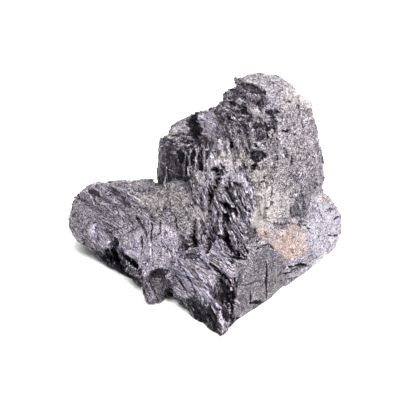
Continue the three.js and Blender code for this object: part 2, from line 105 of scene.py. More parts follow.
ZONES = {
    # the tower and its cap
    "cap_top": Zone((24, 20, 71), 9, (1, -0.4, 0), (0, -0.1, 1), 0.9, 4, 0.4, 0.53, 0.35, 0.5,
        dust=0.3, broken=0.7, grainy=0.8),
    "cap_cliff": Zone((19, 12.5, 67), 5, (0.2, 0.2, -1), (-0.2, -1, 0.2), 1, 6, 0.5, 0.46, 0.8, 0.5,
        dust=0.2, broken=0.3, grainy=0.3),
    "cap_right": Zone((34.5, 21, 64), 6, (0.5, 0.5, -1), (0.8, -0.4, 0.6), 1.2, 4, 0.4, 0.58, 0.4, 0.6,
        dust=0.5, broken=0.6, grainy=0.9),
    "tower_steps": Zone((12.5, 17, 62), 8, (1, -0.4, -0.35), (-0.6, -0.8, 0.4), 1.5, 5, 0.85, 0.265, 1, 0.5,
        dust=0.25, broken=0.8, grainy=0.4),
    "arris_block": Zone((21, 8.5, 56), 6, (0.2, -0.2, -1), (-0.3, -1, 0.2), 1.5, 3.5, 1.1, 0.4, 0.8, 0.7,
        dust=0.4, broken=0.9, grainy=0.6),
    "tower_left": Zone((13, 11, 50), 7, (0.4, -0.6, -1), (-0.6, -0.8, 0.3), 1.2, 4, 1.1, 0.38, 0.7, 0.5,
        dust=0.2, broken=0.8, crevice=0.5),
    "tower_right_top": Zone((32, 15, 57), 9, (0.3, -0.2, -1), (0.6, -0.8, 0.2), 1.7, 2.5, 0.7, 0.58, 0.5,
        0.9, dust=0.4, broken=1, grainy=1),
    "tower_right": Zone((33, 14, 40), 11, (0.25, -0.3, -1), (0.6, -0.8, 0.1), 1.1, 2.2, 0.6, 0.51, 0.5, 0.9,
        dust=0.45, broken=1, grainy=1),
    "tower_arris": Zone((22, 4.5, 43), 6, (0, -0.4, -1), (0.4, -0.9, 0.2), 1, 4, 0.6, 0.37, 0.5, 0.6,
        dust=0.45, broken=0.7, grainy=0.8),
    "tower_foot": Zone((33.5, 9.5, 24), 6, (0.15, -0.5, -1), (0.6, -0.8, 0.3), 0.8, 6, 0.5, 0.3, 0.6, 0.4,
        dust=0.35, grainy=0.4),
    "tower_end": Zone((42, 27, 38), 14, (0, 0.1, -1), (1, 0.1, 0.1), 1.5, 6, 0.7, 0.45, 0.5, 0.6,
        dust=0.3, grainy=0.8),
    # the weathered ledge and the bright wing
    "cream_patch": Zone((23.5, 1.5, 29), 6.5, (0.2, -0.5, -1), (0.5, -0.8, 0.4), 1.2, 3.5, 0.5, 0.62, 0.4,
        0.8, dust=0.6, broken=0.6, grainy=1),
    "tan_ledge": Zone((28, -3, 20.5), 7, (1, 0.3, -0.3), (0.3, -0.4, 1), 1.4, 2.5, 0.3, 0.48, 0.3, 1,
        tan=0.1, dust=0.4, broken=0.7, grainy=1),
    "wing": Zone((41.5, 13, 13.5), 9.5, (0.8, 1, -0.25), (0.5, -0.5, 0.7), 1.5, 3, 0.2, 0.81, 0.28, 0.2,
        silver=1, dust=0.2, broken=0.7),
    "wing_front": Zone((33, -2, 8), 6.5, (1, 1.1, -0.1), (0.7, -0.7, 0.3), 0.7, 6, 0.5, 0.6, 0.4, 0.25,
        silver=0.8, dust=0.25, grainy=0.2),
    "wing_back": Zone((46, 28, 10), 9, (0.5, 0.2, -1), (0.9, 0.4, 0.2), 1.4, 4, 0.35, 0.62, 0.5, 0.4,
        silver=0.5, dust=0.3),
    # the prow and the slab to its right
    "right_slab": Zone((20, -14, 11), 9, (0, -0.35, -1), (0.75, -0.65, 0.1), 1.2, 3, 0.15, 0.33, 0.12, 0.3,
        dust=0.4, broken=0.5, grainy=0.9),
    "slab_edge": Zone((14, -21.5, 7), 5, (0, -0.35, -1), (0.75, -0.65, 0.1), 1.2, 3, 0.15, 0.33, 0.12, 0.3,
        dust=0.4, broken=0.5, grainy=0.9),
    "slab_top": Zone((17, -13, 22), 4.5, (0.8, 0.3, -0.3), (0.2, -0.6, 0.9), 1.2, 4, 0.5, 0.45, 0.4, 0.4,
        dust=0.3, grainy=0.7),
    "prow_tip": Zone((8, -33, 4), 5, (0.6, -0.8, -0.8), (-0.2, -0.8, 0.6), 0.9, 5, 0.6, 0.26, 0.7, 0.4,
        grainy=0.2),
    "prow_fan": Zone((-5.5, -19, 14), 8.5, (1, -1.18, -0.27), (-0.35, -0.5, 0.9), 0.6, 9, 0.2, 0.655, 0.1,
        0.2, crevice=0.15, grainy=0, dust=0.05),
    "prow_band": Zone((7, -19.5, 20), 6, (1, -0.6, -0.4), (-0.3, -0.6, 0.8), 0.6, 6, 0.25, 0.5, 0.12, 0.3,
        crevice=0.3, grainy=0, dust=0.05),
    "prow_edge": Zone((9, -25, 13), 4.2, (0.1, -0.7, -1), (-0.6, -0.6, 0.4), 0.6, 6, 0.7, 0.14, 0.7, 0.3,
        crevice=0.8, grainy=0.1),
    "prow_side": Zone((-3, -25, 3.5), 6.5, (0.35, -0.35, -1), (-0.8, -0.7, 0), 1.1, 5, 0.9, 0.22, 0.9, 0.4,
        broken=0.6, crevice=0.4, grainy=0.3),
    # the dark fibrous flank
    "flank_left": Zone((0, 3, 32), 6.5, (0.75, -1.1, -1.05), (-0.3, -0.8, 0.6), 0.6, 4.5, 1.1, 0.52, 0.4,
        0.4, dust=0.25, crevice=0.8, grainy=0.1),
    "flank_middle": Zone((6.5, -4, 29.5), 7, (0.7, -1.1, -1.05), (-0.3, -0.8, 0.6), 0.6, 6, 1, 0.415, 0.38,
        0.3, dust=0.1, crevice=1, grainy=0),
    "flank_right": Zone((14, 0, 34), 6, (0.5, -1, -1.05), (-0.1, -0.9, 0.5), 0.65, 5, 1, 0.46, 0.42, 0.4,
        dust=0.2, crevice=0.8, grainy=0.1),
    "flank_foot": Zone((9, -12, 25), 5, (0.8, -1, -0.8), (-0.3, -0.7, 0.7), 0.6, 6, 0.9, 0.4, 0.5, 0.3,
        dust=0.1, crevice=0.8, grainy=0),
    "flank_top": Zone((7, 11, 44), 6.5, (0.4, -0.8, -1), (-0.2, -0.9, 0.4), 0.9, 3, 1, 0.83, 0.6, 0.5,
        dust=0.3, broken=0.8, crevice=0.5, grainy=0.7),
    # the shoulder and the square block
    "shoulder_facet": Zone((3.5, 20, 51), 6, (1, -0.2, -0.4), (-0.2, -0.8, 0.6), 1.6, 5, 0.4, 0.6, 0.5, 0.2,
        broken=0.5),
    "shoulder_notch": Zone((-4.4, 24, 48.5), 3.4, (0.3, -0.3, -1), (-1, -0.3, 0.1), 1.2, 6, 0.5, 0.03, 0.3,
        0.2, dust=0, grainy=0.4),
    "upper_step": Zone((-9.5, 26.5, 48), 4, (1, -0.3, 0), (-0.3, -0.2, 1), 1.3, 4, 0.7, 0.52, 0.6, 0.5,
        dust=0.3, broken=0.6, grainy=0.7),
    "block_top": Zone((-9, 22.5, 43), 5, (1, -0.4, 0), (-0.1, -0.3, 1), 1.1, 3, 0.8, 0.21, 0.7, 0.6,
        dust=0.35, broken=0.6, grainy=0.8),
    "block_front": Zone((-11.5, 17.5, 35), 6.5, (0.05, 0, -1), (-0.1, -1, 0), 0.9, 9, 0.2, 0.13, 0.3, 0.3,
        dust=0.2, grainy=0.3),
    "columns": Zone((0.5, 13.5, 39.5), 6, (0.15, -0.35, -1), (-0.2, -0.9, 0.3), 1.3, 5, 1.1, 0.4, 0.5, 0.4,
        dust=0.3, crevice=0.5, grainy=0.1),
    # the arm, the bulge below it and the lobe
    "arm_top": Zone((-29, 14, 20.5), 13, (1, -1.15, 0.05), (-0.1, -0.25, 1), 0.6, 7, 0.3, 0.485, 0.3, 0.3,
        dust=0.2, crevice=0.15, grainy=0.25),
    "arm_end": Zone((-45, 14, 14), 7.5, (1, -1.5, -0.66), (-0.6, -0.5, 0.6), 0.6, 8, 0.18, 0.43, 0.2, 0.25,
        dust=0.2, grainy=0.45),
    "arm_front": Zone((-37, 4.5, 13), 5.5, (0.7, -0.6, -1), (-0.5, -0.9, 0.2), 1, 6, 0.8, 0.83, 0.5, 0.3,
        dust=0.1, crevice=0.5, grainy=0.2),
    "arm_under": Zone((-31, 1.5, 6), 6.5, (0.5, -0.3, -1), (-0.4, -1, -0.1), 1.2, 5, 0.9, 0.2, 0.4, 0.3,
        dust=0.05, crevice=0.6, grainy=0.4),
    "saddle": Zone((-9.5, 5, 29), 9, (1, -1, -0.2), (-0.3, -0.4, 1), 1, 4, 0.5, 0.41, 0.5, 0.5,
        dust=0.45, broken=0.5, crevice=0.25, grainy=0.8),
    "bulge": Zone((-17, -6.5, 17), 7.5, (0.12, -0.6, -0.9), (0, -0.85, 0.5), 0.7, 4, 0.28, 0.665, 0.2, 0.25,
        dust=0.1, crevice=0.2, broken=0.6),
    "bulge_gap": Zone((-7, -9, 17), 4, (0.3, -0.6, -1), (0, -1, 0.3), 1, 5, 0.8, 0.18, 0.6, 0.3,
        dust=0.05, crevice=0.8, grainy=0.2),
    "lobe": Zone((-18, -17, 5), 5, (0.5, -0.5, -1), (0, -1, 0.4), 0.8, 5, 0.5, 0.24, 0.5, 0.3,
        dust=0.2, crevice=0.4, grainy=0.3),
    # the hidden back
    "tower_back": Zone((27, 36, 30), 22, (0.1, 0.1, -1), (0, 1, 0.1), 2.2, 9, 0.9, 0.42, 0.4, 0.4,
        dust=0.3, grainy=0.3, broken=0.35),
    "tower_back_top": Zone((22, 30, 62), 9, (1, 0, -0.4), (0, 0.8, 0.5), 1.3, 5, 0.8, 0.5, 0.6, 0.5,
        dust=0.35, grainy=0.7),
    "shoulder_back": Zone((-4, 34, 26), 16, (-0.1, 0, -1), (0, 1, 0.1), 2, 8, 0.9, 0.38, 0.4, 0.4,
        dust=0.25, grainy=0.3, broken=0.4),
    "arm_back": Zone((-32, 30, 13), 13, (1, 0.3, 0.35), (0, 1, 0.4), 1.4, 8, 0.8, 0.45, 0.4, 0.4,
        dust=0.25, grainy=0.3, broken=0.3),
    "block_side": Zone((-17, 25, 34), 7, (0, 0.1, -1), (-1, 0, 0), 1.6, 8, 0.8, 0.36, 0.4, 0.4,
        dust=0.2, grainy=0.3, broken=0.3),
}

# ---------------------------------------- the camera's frame
VIEW_ELEVATION = math.radians(35)  # how far the camera looks down, along +Y
VIEW_SINE, VIEW_COSINE = math.sin(VIEW_ELEVATION), math.cos(VIEW_ELEVATION)
FRAME_WIDTH = 149.8  # width of the picture at the stone
FRAME_CENTRE = (1.1, 0, 30.0)
PICTURE_SIZE = 416  # pixels along each side of the picture
PIXEL = FRAME_WIDTH / PICTURE_SIZE  # size of a pixel at the stone

# ---------------------------------------- single marks of the front
# Each mark lies along a short line in the picture: column and row of its start, column and row of its end,
# radius in pixels, height in millimetres (below zero for a cut) and change in tone. The change in tone is
# mostly painted shade, darker in the cuts, slots and hollows, and painted highlight, brighter on the ribs,
# thin lamellae and glints.
MARKS = {
    # slots, hollows and cracks of the tower
    "cap_cliff": [(244, 86, 262, 94, 4.5, -1, -0.25)],
    "cap_block": [(262, 101, 262, 107, 5, -0.5, -0.2)],
    "cap_wedge": [(283, 101, 290, 103, 2, -0.6, -0.2)],
    "steps_slot": [(241, 106, 246, 114, 3, -0.9, -0.2), (242, 121, 247, 134, 4.5, -0.5, -0.2),
        (230, 104, 238, 108, 2, -0.8, -0.15)],
    "arris_cell": [(267, 112, 276, 113, 3, -0.9, -0.25), (272, 119, 275, 130, 4, -0.9, -0.25),
        (258, 128, 266, 138, 7, -0.8, -0.18)],
    "arris_face": [(253, 154, 262, 156, 6.5, -1.2, -0.28)],
    "cup_floor": [(281, 131.5, 289, 131.5, 1.3, -1.4, -0.5)],
    "cup_inside": [(286, 123, 286, 129, 3, -0.5, -0.05)],
    "right_pit": [(285, 149, 287, 157, 2, -0.7, -0.2), (291, 156, 291, 163, 1.3, -0.6, -0.25),
        (302, 120, 303, 127, 1.5, -0.5, -0.2)],
    "right_edge": [(323, 150, 325, 166, 1.2, -0.3, -0.25)],
    # of the shoulder, the block and the columns
    "notch": [(193, 116, 194, 134, 6, -1.2, -0.45)],
    "notch_foot": [(194, 134, 205, 142, 5, -0.5, -0.2)],
    "facet_edge": [(216, 111, 222, 119, 3.5, -0.4, -0.15)],
    "column_slot": [(181, 149, 182, 162, 3, -1, -0.22), (188, 153, 187, 174, 1.6, -1.1, -0.22),
        (193, 151, 193, 168, 1.6, -1.1, -0.25), (200, 157, 200, 169, 2.2, -1.5, -0.4),
        (207, 150, 208, 160, 1.4, -0.9, -0.2), (212, 143, 215, 157, 3, -0.9, -0.2),
        (232, 141, 233, 147, 2, -1.4, -0.4), (230, 151, 231, 155, 1.8, -1.2, -0.35)],
    # of the flank
    "hole": [(214, 168, 222, 173, 2.4, -1.8, -0.42), (219, 165, 226, 171, 1.8, -1.4, -0.38),
        (216, 174, 222, 179, 2.4, -1.8, -0.45)],
    "slot_left": [(211, 187, 209, 200, 1.8, -1.6, -0.42)],
    "slot_right": [(216, 180, 213, 200, 2.4, -1.7, -0.42)],
    "face_upper": [(231, 178, 231, 184, 2.6, -1.2, -0.38)],
    "face_lower": [(229, 187, 232, 197, 4, -1, -0.3)],
    "hollow_top": [(226, 204, 232, 210, 3.6, -2, -0.45)],
    "hollow_hook": [(235, 206, 237, 218, 1.8, -1.6, -0.42)],
    "hollow_mid": [(224, 214, 228, 221, 3.5, -1.2, -0.3)],
    "eye_left": [(208, 226, 203, 239, 2.4, -1.2, -0.28)],
    "eye_right": [(213, 230, 214, 241, 2, -1, -0.24)],
    "eye_slot": [(211, 239, 207, 253, 2, -1.3, -0.32)],
    "saddle_hollow": [(190, 247, 202, 247, 6, -0.4, -0.14)],
    "saddle_pit": [(185, 257, 199, 256, 2.2, -0.9, -0.22)],
    "flank_dark": [(227, 233, 231, 248, 4.2, -1.3, -0.33), (233, 251, 243, 258, 3.4, -1.2, -0.32),
        (238, 241, 246, 252, 2, -1.2, -0.35)],
    "flank_cut": [(229, 222, 240, 243, 1.1, -1, -0.3), (224, 222, 226, 244, 1.2, -1, -0.25),
        (240, 203, 250, 212, 1.4, -1, -0.25)],
    # of the arm, the bulge and the lobe
    "rim_dark": [(88, 193, 96, 194, 3, -0.6, -0.25)],
    "arm_groove": [(107, 187, 129, 207, 2.2, -0.4, -0.14), (100, 197, 118, 207, 1.6, -0.3, -0.08),
        (130, 185, 142, 193, 1.3, -0.3, -0.08)],
    "arm_lip": [(92, 235, 101, 230, 1.8, -0.5, -0.15)],
    "crescent_top": [(107, 233, 113, 243, 3.2, -1.3, -0.3)],
    "crescent": [(114, 245, 117, 265, 3.4, -1.6, -0.35)],
    "under_left": [(84, 243, 104, 262, 4.5, -0.8, -0.22)],
    "under_facet": [(97, 236, 101, 250, 4, -0.4, -0.15)],
    "under_hole": [(121, 257, 138, 272, 4.6, -1.4, -0.32)],
    "under_edge": [(110, 268, 134, 279, 3.5, -0.8, -0.3)],
    "bulge_wedge": [(136, 216, 147, 235, 1.8, -0.6, -0.15)],
    "bulge_crack": [(174, 216, 178, 230, 1.2, -0.6, -0.14), (152, 222, 151, 240, 0.9, -0.8, -0.2),
        (161, 219, 159, 236, 0.8, -0.6, -0.15), (141, 236, 142, 247, 1, -0.7, -0.2)],
    "lobe_hollow": [(151, 273, 167, 272, 4, -1.4, -0.22)],
    "lobe_slot": [(138, 279, 143, 296, 2.5, -0.8, -0.3)],
    "lobe_gap": [(169, 290, 172, 299, 3, -1, -0.25)],
    # of the prow
    "fan_dark": [(189, 265, 201, 282, 1.8, -0.7, -0.22), (196, 259, 208, 267, 2.2, -0.6, -0.2),
        (207, 284, 215, 296, 1.8, -0.7, -0.25)],
    "fan_groove": [(176, 276, 192, 300, 0.9, -0.7, -0.18), (184, 270, 196, 293, 0.8, -0.6, -0.15)],
    "slot_root": [(211, 264, 222, 275, 1.8, -0.9, -0.5)],
    "slot_upper": [(223, 277, 227, 289, 5, -0.8, -0.7)],
    "slot_middle": [(226, 288, 227, 305, 5.6, -0.7, -0.7)],
    "slot_lower": [(227, 304, 227, 317, 5, -0.7, -0.7)],
    "slot_foot": [(226, 317, 238, 318, 1.8, -0.4, -0.4)],
    "slot_side": [(232, 288, 234, 303, 1.6, -0.4, -0.42)],
    "side_dark": [(193, 303, 205, 318, 6, -0.8, -0.22), (208, 306, 216, 326, 4, -0.9, -0.25),
        (200, 316, 216, 333, 5, -0.5, -0.28), (186, 300, 196, 312, 4, -0.3, -0.25)],
    "band_pit": [(229, 257, 233, 262, 1.8, -0.9, -0.3)],
    # of the slab, the ledge and the wing
    "slab_crack": [(266, 262, 267, 299, 0.9, -0.5, -0.12), (250, 291, 250, 305, 0.9, -0.5, -0.12)],
    "slab_hollow": [(250, 304, 264, 302, 1.8, -0.7, -0.22)],
    "slab_line": [(238, 286, 262, 279, 0.7, -0.2, -0.05)],
    "ledge_step": [(257, 249, 268, 243, 0.9, -0.5, -0.12), (268, 243, 275, 250, 0.9, -0.5, -0.12)],
    "cream_cut": [(266, 209, 274, 201, 1, -0.7, -0.3), (272, 186, 271, 197, 0.9, -0.6, -0.28),
        (256, 200, 262, 194, 0.8, -0.5, -0.22)],
    "tan_pit": [(264, 231, 266, 236, 1.4, -0.5, -0.2), (282, 240, 286, 243, 1.2, -0.4, -0.15),
        (291, 250, 293, 253, 1.2, -0.4, -0.15), (256, 241, 260, 239, 1.1, -0.8, -0.4)],
    "foot_line": [(290, 197, 291, 218, 1, -0.3, -0.05), (297, 198, 299, 220, 1, -0.3, -0.05),
        (304, 200, 306, 220, 1, -0.3, -0.05)],
    "foot_end": [(296, 221, 308, 222, 1.2, -0.6, -0.12)],
    "wing_crack": [(330, 236.5, 340, 236, 0.9, -1.2, -0.5), (304, 226, 310, 229, 1.2, -0.9, -0.35),
        (336, 220, 341, 218, 0.9, -0.8, -0.35), (330, 209, 335, 209, 1.2, -0.5, -0.2),
        (318, 205, 325, 222, 0.7, -0.5, -0.15)],
    "slit_upper": [(283, 269, 300, 265, 1.1, -1.7, -0.5)],
    "slit_end": [(299, 265, 306, 266, 1.8, -1.6, -0.5)],
    "slit_lower": [(281, 274, 290, 272, 1, -1.4, -0.48), (291, 271, 303, 267, 1, -1.4, -0.48)],
    "rim_notch": [(290, 280, 297, 278, 1.6, -0.6, -0.25)],
    # ribs, thin lamellae and bright spots, most painted brighter as highlights
    "cap_shoulder": [(300, 100, 306, 104, 7, 1.6, 0.05)],
    "step_knob": [(166, 136, 170, 136, 3.5, 1.2, 0)],
    "foot_fill_left": [(263, 188, 264, 214, 5, 1, 0.08)],
    "foot_fill_low": [(266, 219, 296, 220, 4, 1, 0.06)],
    "gap_filling": [(186, 243, 190, 246, 6, 1, 0)],
    "cap_rim": [(241, 80.5, 264, 87, 1.2, 0.5, 0.18)],
    "cap_glow": [(272, 97, 270, 104, 3.5, 0.2, 0.1)],
    "steps_rib": [(231, 113, 239, 125, 1, 0.6, 0.25), (239, 120, 247, 124, 1, 0.6, 0.25)],
    "bright_lump": [(253, 109, 258, 113, 2.6, 0.6, 0.25)],
    "cell_rim": [(270, 126, 270, 135, 1, 0.5, 0.22)],
    "arris_rim": [(254, 143, 268, 148, 1.3, 0.7, 0.25), (251, 150, 262, 148, 0.8, 0.5, 0.25)],
    "cup_left": [(282, 121, 282, 129, 0.9, 0.7, 0.2)],
    "cup_right": [(291, 126, 289, 131, 0.9, 0.7, 0.2)],
    "facet_light": [(203, 116, 208, 130, 5, 0, 0.14)],
    "facet_rim": [(199.5, 115, 200, 131, 0.9, 0.3, 0.25)],
    "step_light": [(177, 128, 172, 132, 2.5, 0.3, 0.2)],
    "fringe": [(180, 145, 214, 149, 1.4, 0.7, 0.16)],
    "rib": [(190, 151, 190, 174, 1, 0.8, 0.25), (197, 150, 197, 155, 1.6, 0.7, 0.3),
        (204, 150, 205, 170, 1.4, 0.9, 0.3), (211, 158, 209, 168, 1.2, 0.8, 0.3),
        (221, 140, 222, 156, 1.8, 0.9, 0.22), (227, 140, 228, 156, 1.2, 0.9, 0.3)],
    "vein": [(165.7, 166, 165.3, 188, 0.7, 0.3, 0.3), (161, 160, 167, 168, 0.5, 0.2, 0.18),
        (167, 168, 180, 176, 0.5, 0.2, 0.18)],
    "centre_rib": [(224, 172, 223, 198, 2.4, 1.2, 0.22)],
    "glint": [(239, 172, 247, 187, 1.8, 0.6, 0.42), (238, 176, 243, 186, 2.2, 0.4, 0.2)],
    "wave": [(219, 212, 221, 232, 1.1, 0.8, 0.22), (221, 232, 223, 248, 1.1, 0.8, 0.22),
        (216, 208, 213, 222, 1.1, 0.7, 0.2)],
    "comb": [(226, 226, 246, 252, 0.7, 0.7, 0.5), (231, 221, 248, 244, 0.7, 0.7, 0.42),
        (228, 240, 243, 258, 0.7, 0.7, 0.5), (232, 215, 243, 232, 0.7, 0.7, 0.4),
        (236, 203, 251, 216, 0.8, 0.7, 0.4), (222, 252, 240, 264, 0.8, 0.4, 0.2)],
    "edge_light": [(180, 243, 176, 266, 1.1, 0.6, 0.22)],
    "spot": [(115, 212, 115, 213, 2.4, 0.4, 0.4), (121, 212, 122, 215, 2.6, 0.4, 0.35),
        (121, 236, 122, 237, 1.4, 0.3, 0.35), (169, 273, 169, 274, 1.6, 0.5, 0.5)],
    "arm_edge": [(85, 190, 93, 204, 0.9, 0.5, 0.28)],
    "arm_line": [(110, 223, 121, 234, 0.7, 0.5, 0.28), (113, 222, 124, 232, 0.6, 0.4, 0.2),
        (103, 203, 114, 215, 0.8, 0.4, 0.18), (124, 190, 138, 200, 0.9, 0.4, 0.18)],
    "bulge_glow": [(150, 250, 165, 258, 8, 0.3, 0.08)],
    "bulge_lump": [(128, 253, 136, 256, 4, 0.6, 0.2)],
    "under_rib": [(108, 246, 113, 262, 1.3, 0.5, 0.3)],
    "slot_lamella": [(222, 278, 232, 289, 0.9, 1.2, 1.6), (225, 306, 231, 313, 0.8, 1, 1.5),
        (231, 297, 237, 303, 0.9, 1, 1.3), (221, 295, 226, 303, 0.7, 0.8, 1.3),
        (218, 276, 223, 281, 0.7, 0.8, 1.1), (229, 300, 235, 306, 0.7, 0.8, 1.3)],
    "side_rib": [(213, 305, 216, 312, 1, 0.6, 0.5), (216, 303, 222, 311, 1.5, 0.8, 0.55),
        (220, 312, 222, 330, 1.8, 0.6, 0.35), (206, 300, 207, 310, 1, 0.5, 0.3)],
    "toe_light": [(222, 322, 228, 328, 3.5, 0.2, 0.28)],
    "slit_facet": [(286, 271.5, 301, 268, 1, 0.2, 0.3)],
}

# Stains of the front, and painted shade, by where they lie: column, row, radius in pixels, and the changes
# in tan crust, cream dust and tone. The darkening of the prow's slot is painted shade.
STAINS_AND_SHADE = {
    "tan_crust": [(290, 243, 13, 1, 0, 0), (263, 233, 8, 0.9, 0, 0), (276, 241, 8, 0.8, 0, 0),
        (302, 249, 8, 0.8, 0, 0), (293, 228, 6, 0.7, 0, 0), (289, 256, 6, 0.9, 0, 0)],
    "ledge_grey": [(281, 224, 8, -0.3, -0.2, -0.03)],
    "cream_dust": [(259, 221, 8, 0.1, 1, 0.12), (268, 207, 10, 0.1, 0.9, 0.06), (262, 193, 9, 0, 0.7, 0.06),
        (299, 92, 10, 0.1, 1, 0.14), (286, 101, 7, 0, 0.6, 0.04), (278, 211, 8, 0, -0.25, -0.08)],
    "pink_rim": [(325, 194, 7, 0.7, 0.3, 0)],
    "wing_rim": [(330, 256, 4, 0.5, 0.3, 0), (316, 266, 5, 0.6, 0.3, 0), (299, 276, 4, 0.5, 0.3, 0)],
    "arm": [(141, 200, 8, 0, 0.6, 0), (158, 198, 9, 0, 0.6, 0), (175, 203, 9, 0, 0.6, 0),
        (164, 210, 8, 0, -0.3, 0.02), (83, 215, 14, 0, 0, 0.05), (130, 240, 12, 0, 0, 0.08),
        (104, 247, 8, 0, 0, 0.10)],
    "saddle": [(200, 214, 8, 0, 0.5, 0.05)],
    "pale_band": [(238, 160, 9, 0, 0.6, 0.08), (222, 159, 7, 0, 0.5, 0.06)],
    "square_block": [(173, 137, 6, 0, 0.7, 0.08), (195, 141, 11, 0.15, 0.1, -0.1)],
    "column_rib": [(209, 164, 4, 0, 0.7, 0.08)],
    "tower_steps": [(255, 112, 4, 0, 0.7, 0.1), (263, 118, 3, 0, 0.7, 0.1)],
    "right_slab": [(271, 252, 6, -0.2, -0.4, 0.03), (258, 305, 6, 0, 0, -0.15)],
    # painted shade: the prow's slot is painted darker and cleared of dust
    "prow_slot": [(225, 284, 6, 0, -0.5, -0.3), (225, 297, 7, 0, -0.5, -0.35), (227, 310, 6, 0, -0.5, -0.3)],
    "lobe_hollow": [(158, 273, 7, 0.2, 0, -0.08)],
    "tower_right": [(302, 185, 9, 0, -0.2, -0.08), (294, 175, 6, 0, -0.3, -0.14)],
    "tower_arris": [(262, 175, 8, 0, 0.3, 0.06)],
    "tower_foot": [(275, 221, 10, 0, 0.2, 0.12)],
    "upper_flank": [(238, 145, 12, 0, 0.15, 0.13)],
    "wing_top": [(329, 207, 9, 0, 0, 0.14)],
}


# ---------------------------------------- numbers from places
def unit(vector):
    vector = np.asarray(vector, float)
    return vector / np.linalg.norm(vector)


def unit_rows(rows):
    return rows / np.linalg.norm(rows, axis=1)[:, None]


def hashed(seed, *keys):
    """A repeatable random number from 0 to 1 for each set of whole-number keys."""
    value = np.full(np.shape(keys[0]), seed * 7919 + 12345, np.uint32)
    for key in keys:
        value ^= key.astype(np.int64).astype(np.uint32) * np.uint32(0x9E3779B1)
        value ^= value >> np.uint32(15)
        value *= np.uint32(0x85EBCA6B)
        value ^= value >> np.uint32(13)
        value *= np.uint32(0xC2B2AE35)
        value ^= value >> np.uint32(16)
    return value / 2.0**32


def noise(points, size, seed):
    """Smooth noise from -1 to 1 with bumps about "size" across."""
    scaled = points / size
    cell = np.floor(scaled).astype(np.int64)
    part = scaled - cell
    part = part * part * (3 - 2 * part)
    total = np.zeros(len(points))
    for corner in np.ndindex(2, 2, 2):
        offset = np.array(corner)
        weight = np.prod(np.where(offset, part, 1 - part), axis=1)
        total += weight * hashed(seed, *(cell + offset).T)
    return 2 * total - 1


def layered_noise(points, size, seed):
    """Three layers of noise, each half as big and half as strong as the one before."""
    return sum(noise(points, size / 2**n, seed + n) / 2**n for n in range(3)) / 1.6


def noise_vectors(points, size, seeds):
    return np.stack([noise(points, size, seed) for seed in seeds], axis=1)


def broken_cells(points, seed):
    """Breaks space into cells about 1 across. Gives the distance to each place's cell centre, how much
    further the next centre is, the height there of a randomly tilted facet through the cell's centre,
    and the cell's random number."""
    cell = np.floor(points).astype(np.int64)
    nearest, second = np.full(len(points), 9.0), np.full(len(points), 9.0)
    facet = np.zeros(len(points))
    label = np.zeros(len(points))
    for step in np.ndindex(3, 3, 3):
        near = cell + np.array(step) - 1
        chance = np.stack([hashed(seed + axis, *near.T) for axis in range(3)], axis=1)
        way = points - near - chance
        distance = np.linalg.norm(way, axis=1)
        closer = distance < nearest
        second = np.minimum(second, np.maximum(nearest, distance))
        nearest[closer] = distance[closer]
        tilt = np.stack([hashed(seed + 5 + axis, *near[closer].T) for axis in range(3)], axis=1) - 0.5
        facet[closer] = np.sum(way[closer] * tilt, axis=1)
        label[closer] = hashed(seed + 9, *near[closer].T)
    return nearest, second - nearest, facet, label


def line_distance(points, start, end):
    """Distance from each point to the line, and the share of the way along it."""
    share = np.clip((points - start) @ (end - start) / np.sum((end - start) ** 2), 0, 1)
    return np.linalg.norm(points - start - share[:, None] * (end - start), axis=1), share


# ---------------------------------------- meshes as arrays
def places_of(mesh):
    flat = np.empty(len(mesh.vertices) * 3)
    mesh.vertices.foreach_get("co", flat)
    return flat.reshape(-1, 3) / MM


def set_places(mesh, places):
    mesh.vertices.foreach_set("co", (places * MM).ravel())
    mesh.update()


def normals_of(mesh):
    flat = np.empty(len(mesh.vertices) * 3)
    mesh.vertex_normals.foreach_get("vector", flat)
    return flat.reshape(-1, 3)


def edges_of(mesh):
    flat = np.empty(len(mesh.edges) * 2, np.int32)
    mesh.edges.foreach_get("vertices", flat)
    return flat.reshape(-1, 2)


def blurred(values, edges, rounds):
    """Each vertex's value averaged with its neighbours', several times over."""
    values = np.array(values, float)
    first, second = edges.T
    count = len(values)
    ties = np.bincount(first, minlength=count) + np.bincount(second, minlength=count)
    columns = values.reshape(count, -1)
    for _ in range(rounds):
        for column in range(columns.shape[1]):
            own = columns[:, column]
            total = np.bincount(first, own[second], count) + np.bincount(second, own[first], count)
            columns[:, column] = 0.3 * own + 0.7 * total / ties
    return columns.reshape(values.shape)


def baked_mesh(piece, name):
    """A new mesh with the piece's modifiers applied."""
    bpy.context.view_layer.update()
    mesh = bpy.data.meshes.new_from_object(piece.evaluated_get(bpy.context.evaluated_depsgraph_get()))
    mesh.name = name
    return mesh


def store(mesh, name, values):
    kind = "FLOAT" if values.ndim == 1 else "FLOAT_VECTOR"
    attribute = mesh.attributes.new(name, kind, "POINT")
    attribute.data.foreach_set("value" if values.ndim == 1 else "vector", values.astype(np.float32).ravel())


# ---------------------------------------- which zone a place is in
def zone_column(key):
    return np.array([getattr(zone, key) for zone in ZONES.values()], float)


def zone_costs(places, normals):
    """How far each place is from each zone, in reaches. A place that faces the zone's way is nearer."""
    costs = np.empty((len(ZONES), len(places)))
    for row, zone in zip(costs, ZONES.values()):
        distance = np.linalg.norm(places - zone.centre, axis=1) / zone.reach
        row[:] = distance - FACING_PULL * (normals @ unit(zone.out))
    return costs


def ragged(places):
    """Places shaken about, so that borders drawn from them run ragged."""
    shake = noise_vectors(places, 6, (SEED + 20, SEED + 21, SEED + 22))
    shake += 0.6 * noise_vectors(places, 2.2, (SEED + 24, SEED + 25, SEED + 26))
    return places + BORDER_SHAKE * shake


def zones_at(places, normals):
    """The zone that each place belongs to."""
    return np.argmin(zone_costs(ragged(places), normals), axis=0)


def soft_shares(places, normals, keys, sharpness):
    """Zone values that fade from zone to zone over ragged borders."""
    costs = zone_costs(ragged(places), normals)
    weights = np.exp(-sharpness * (costs - costs.min(axis=0)))
    weights /= weights.sum(axis=0)
    return [zone_column(key) @ weights for key in keys]


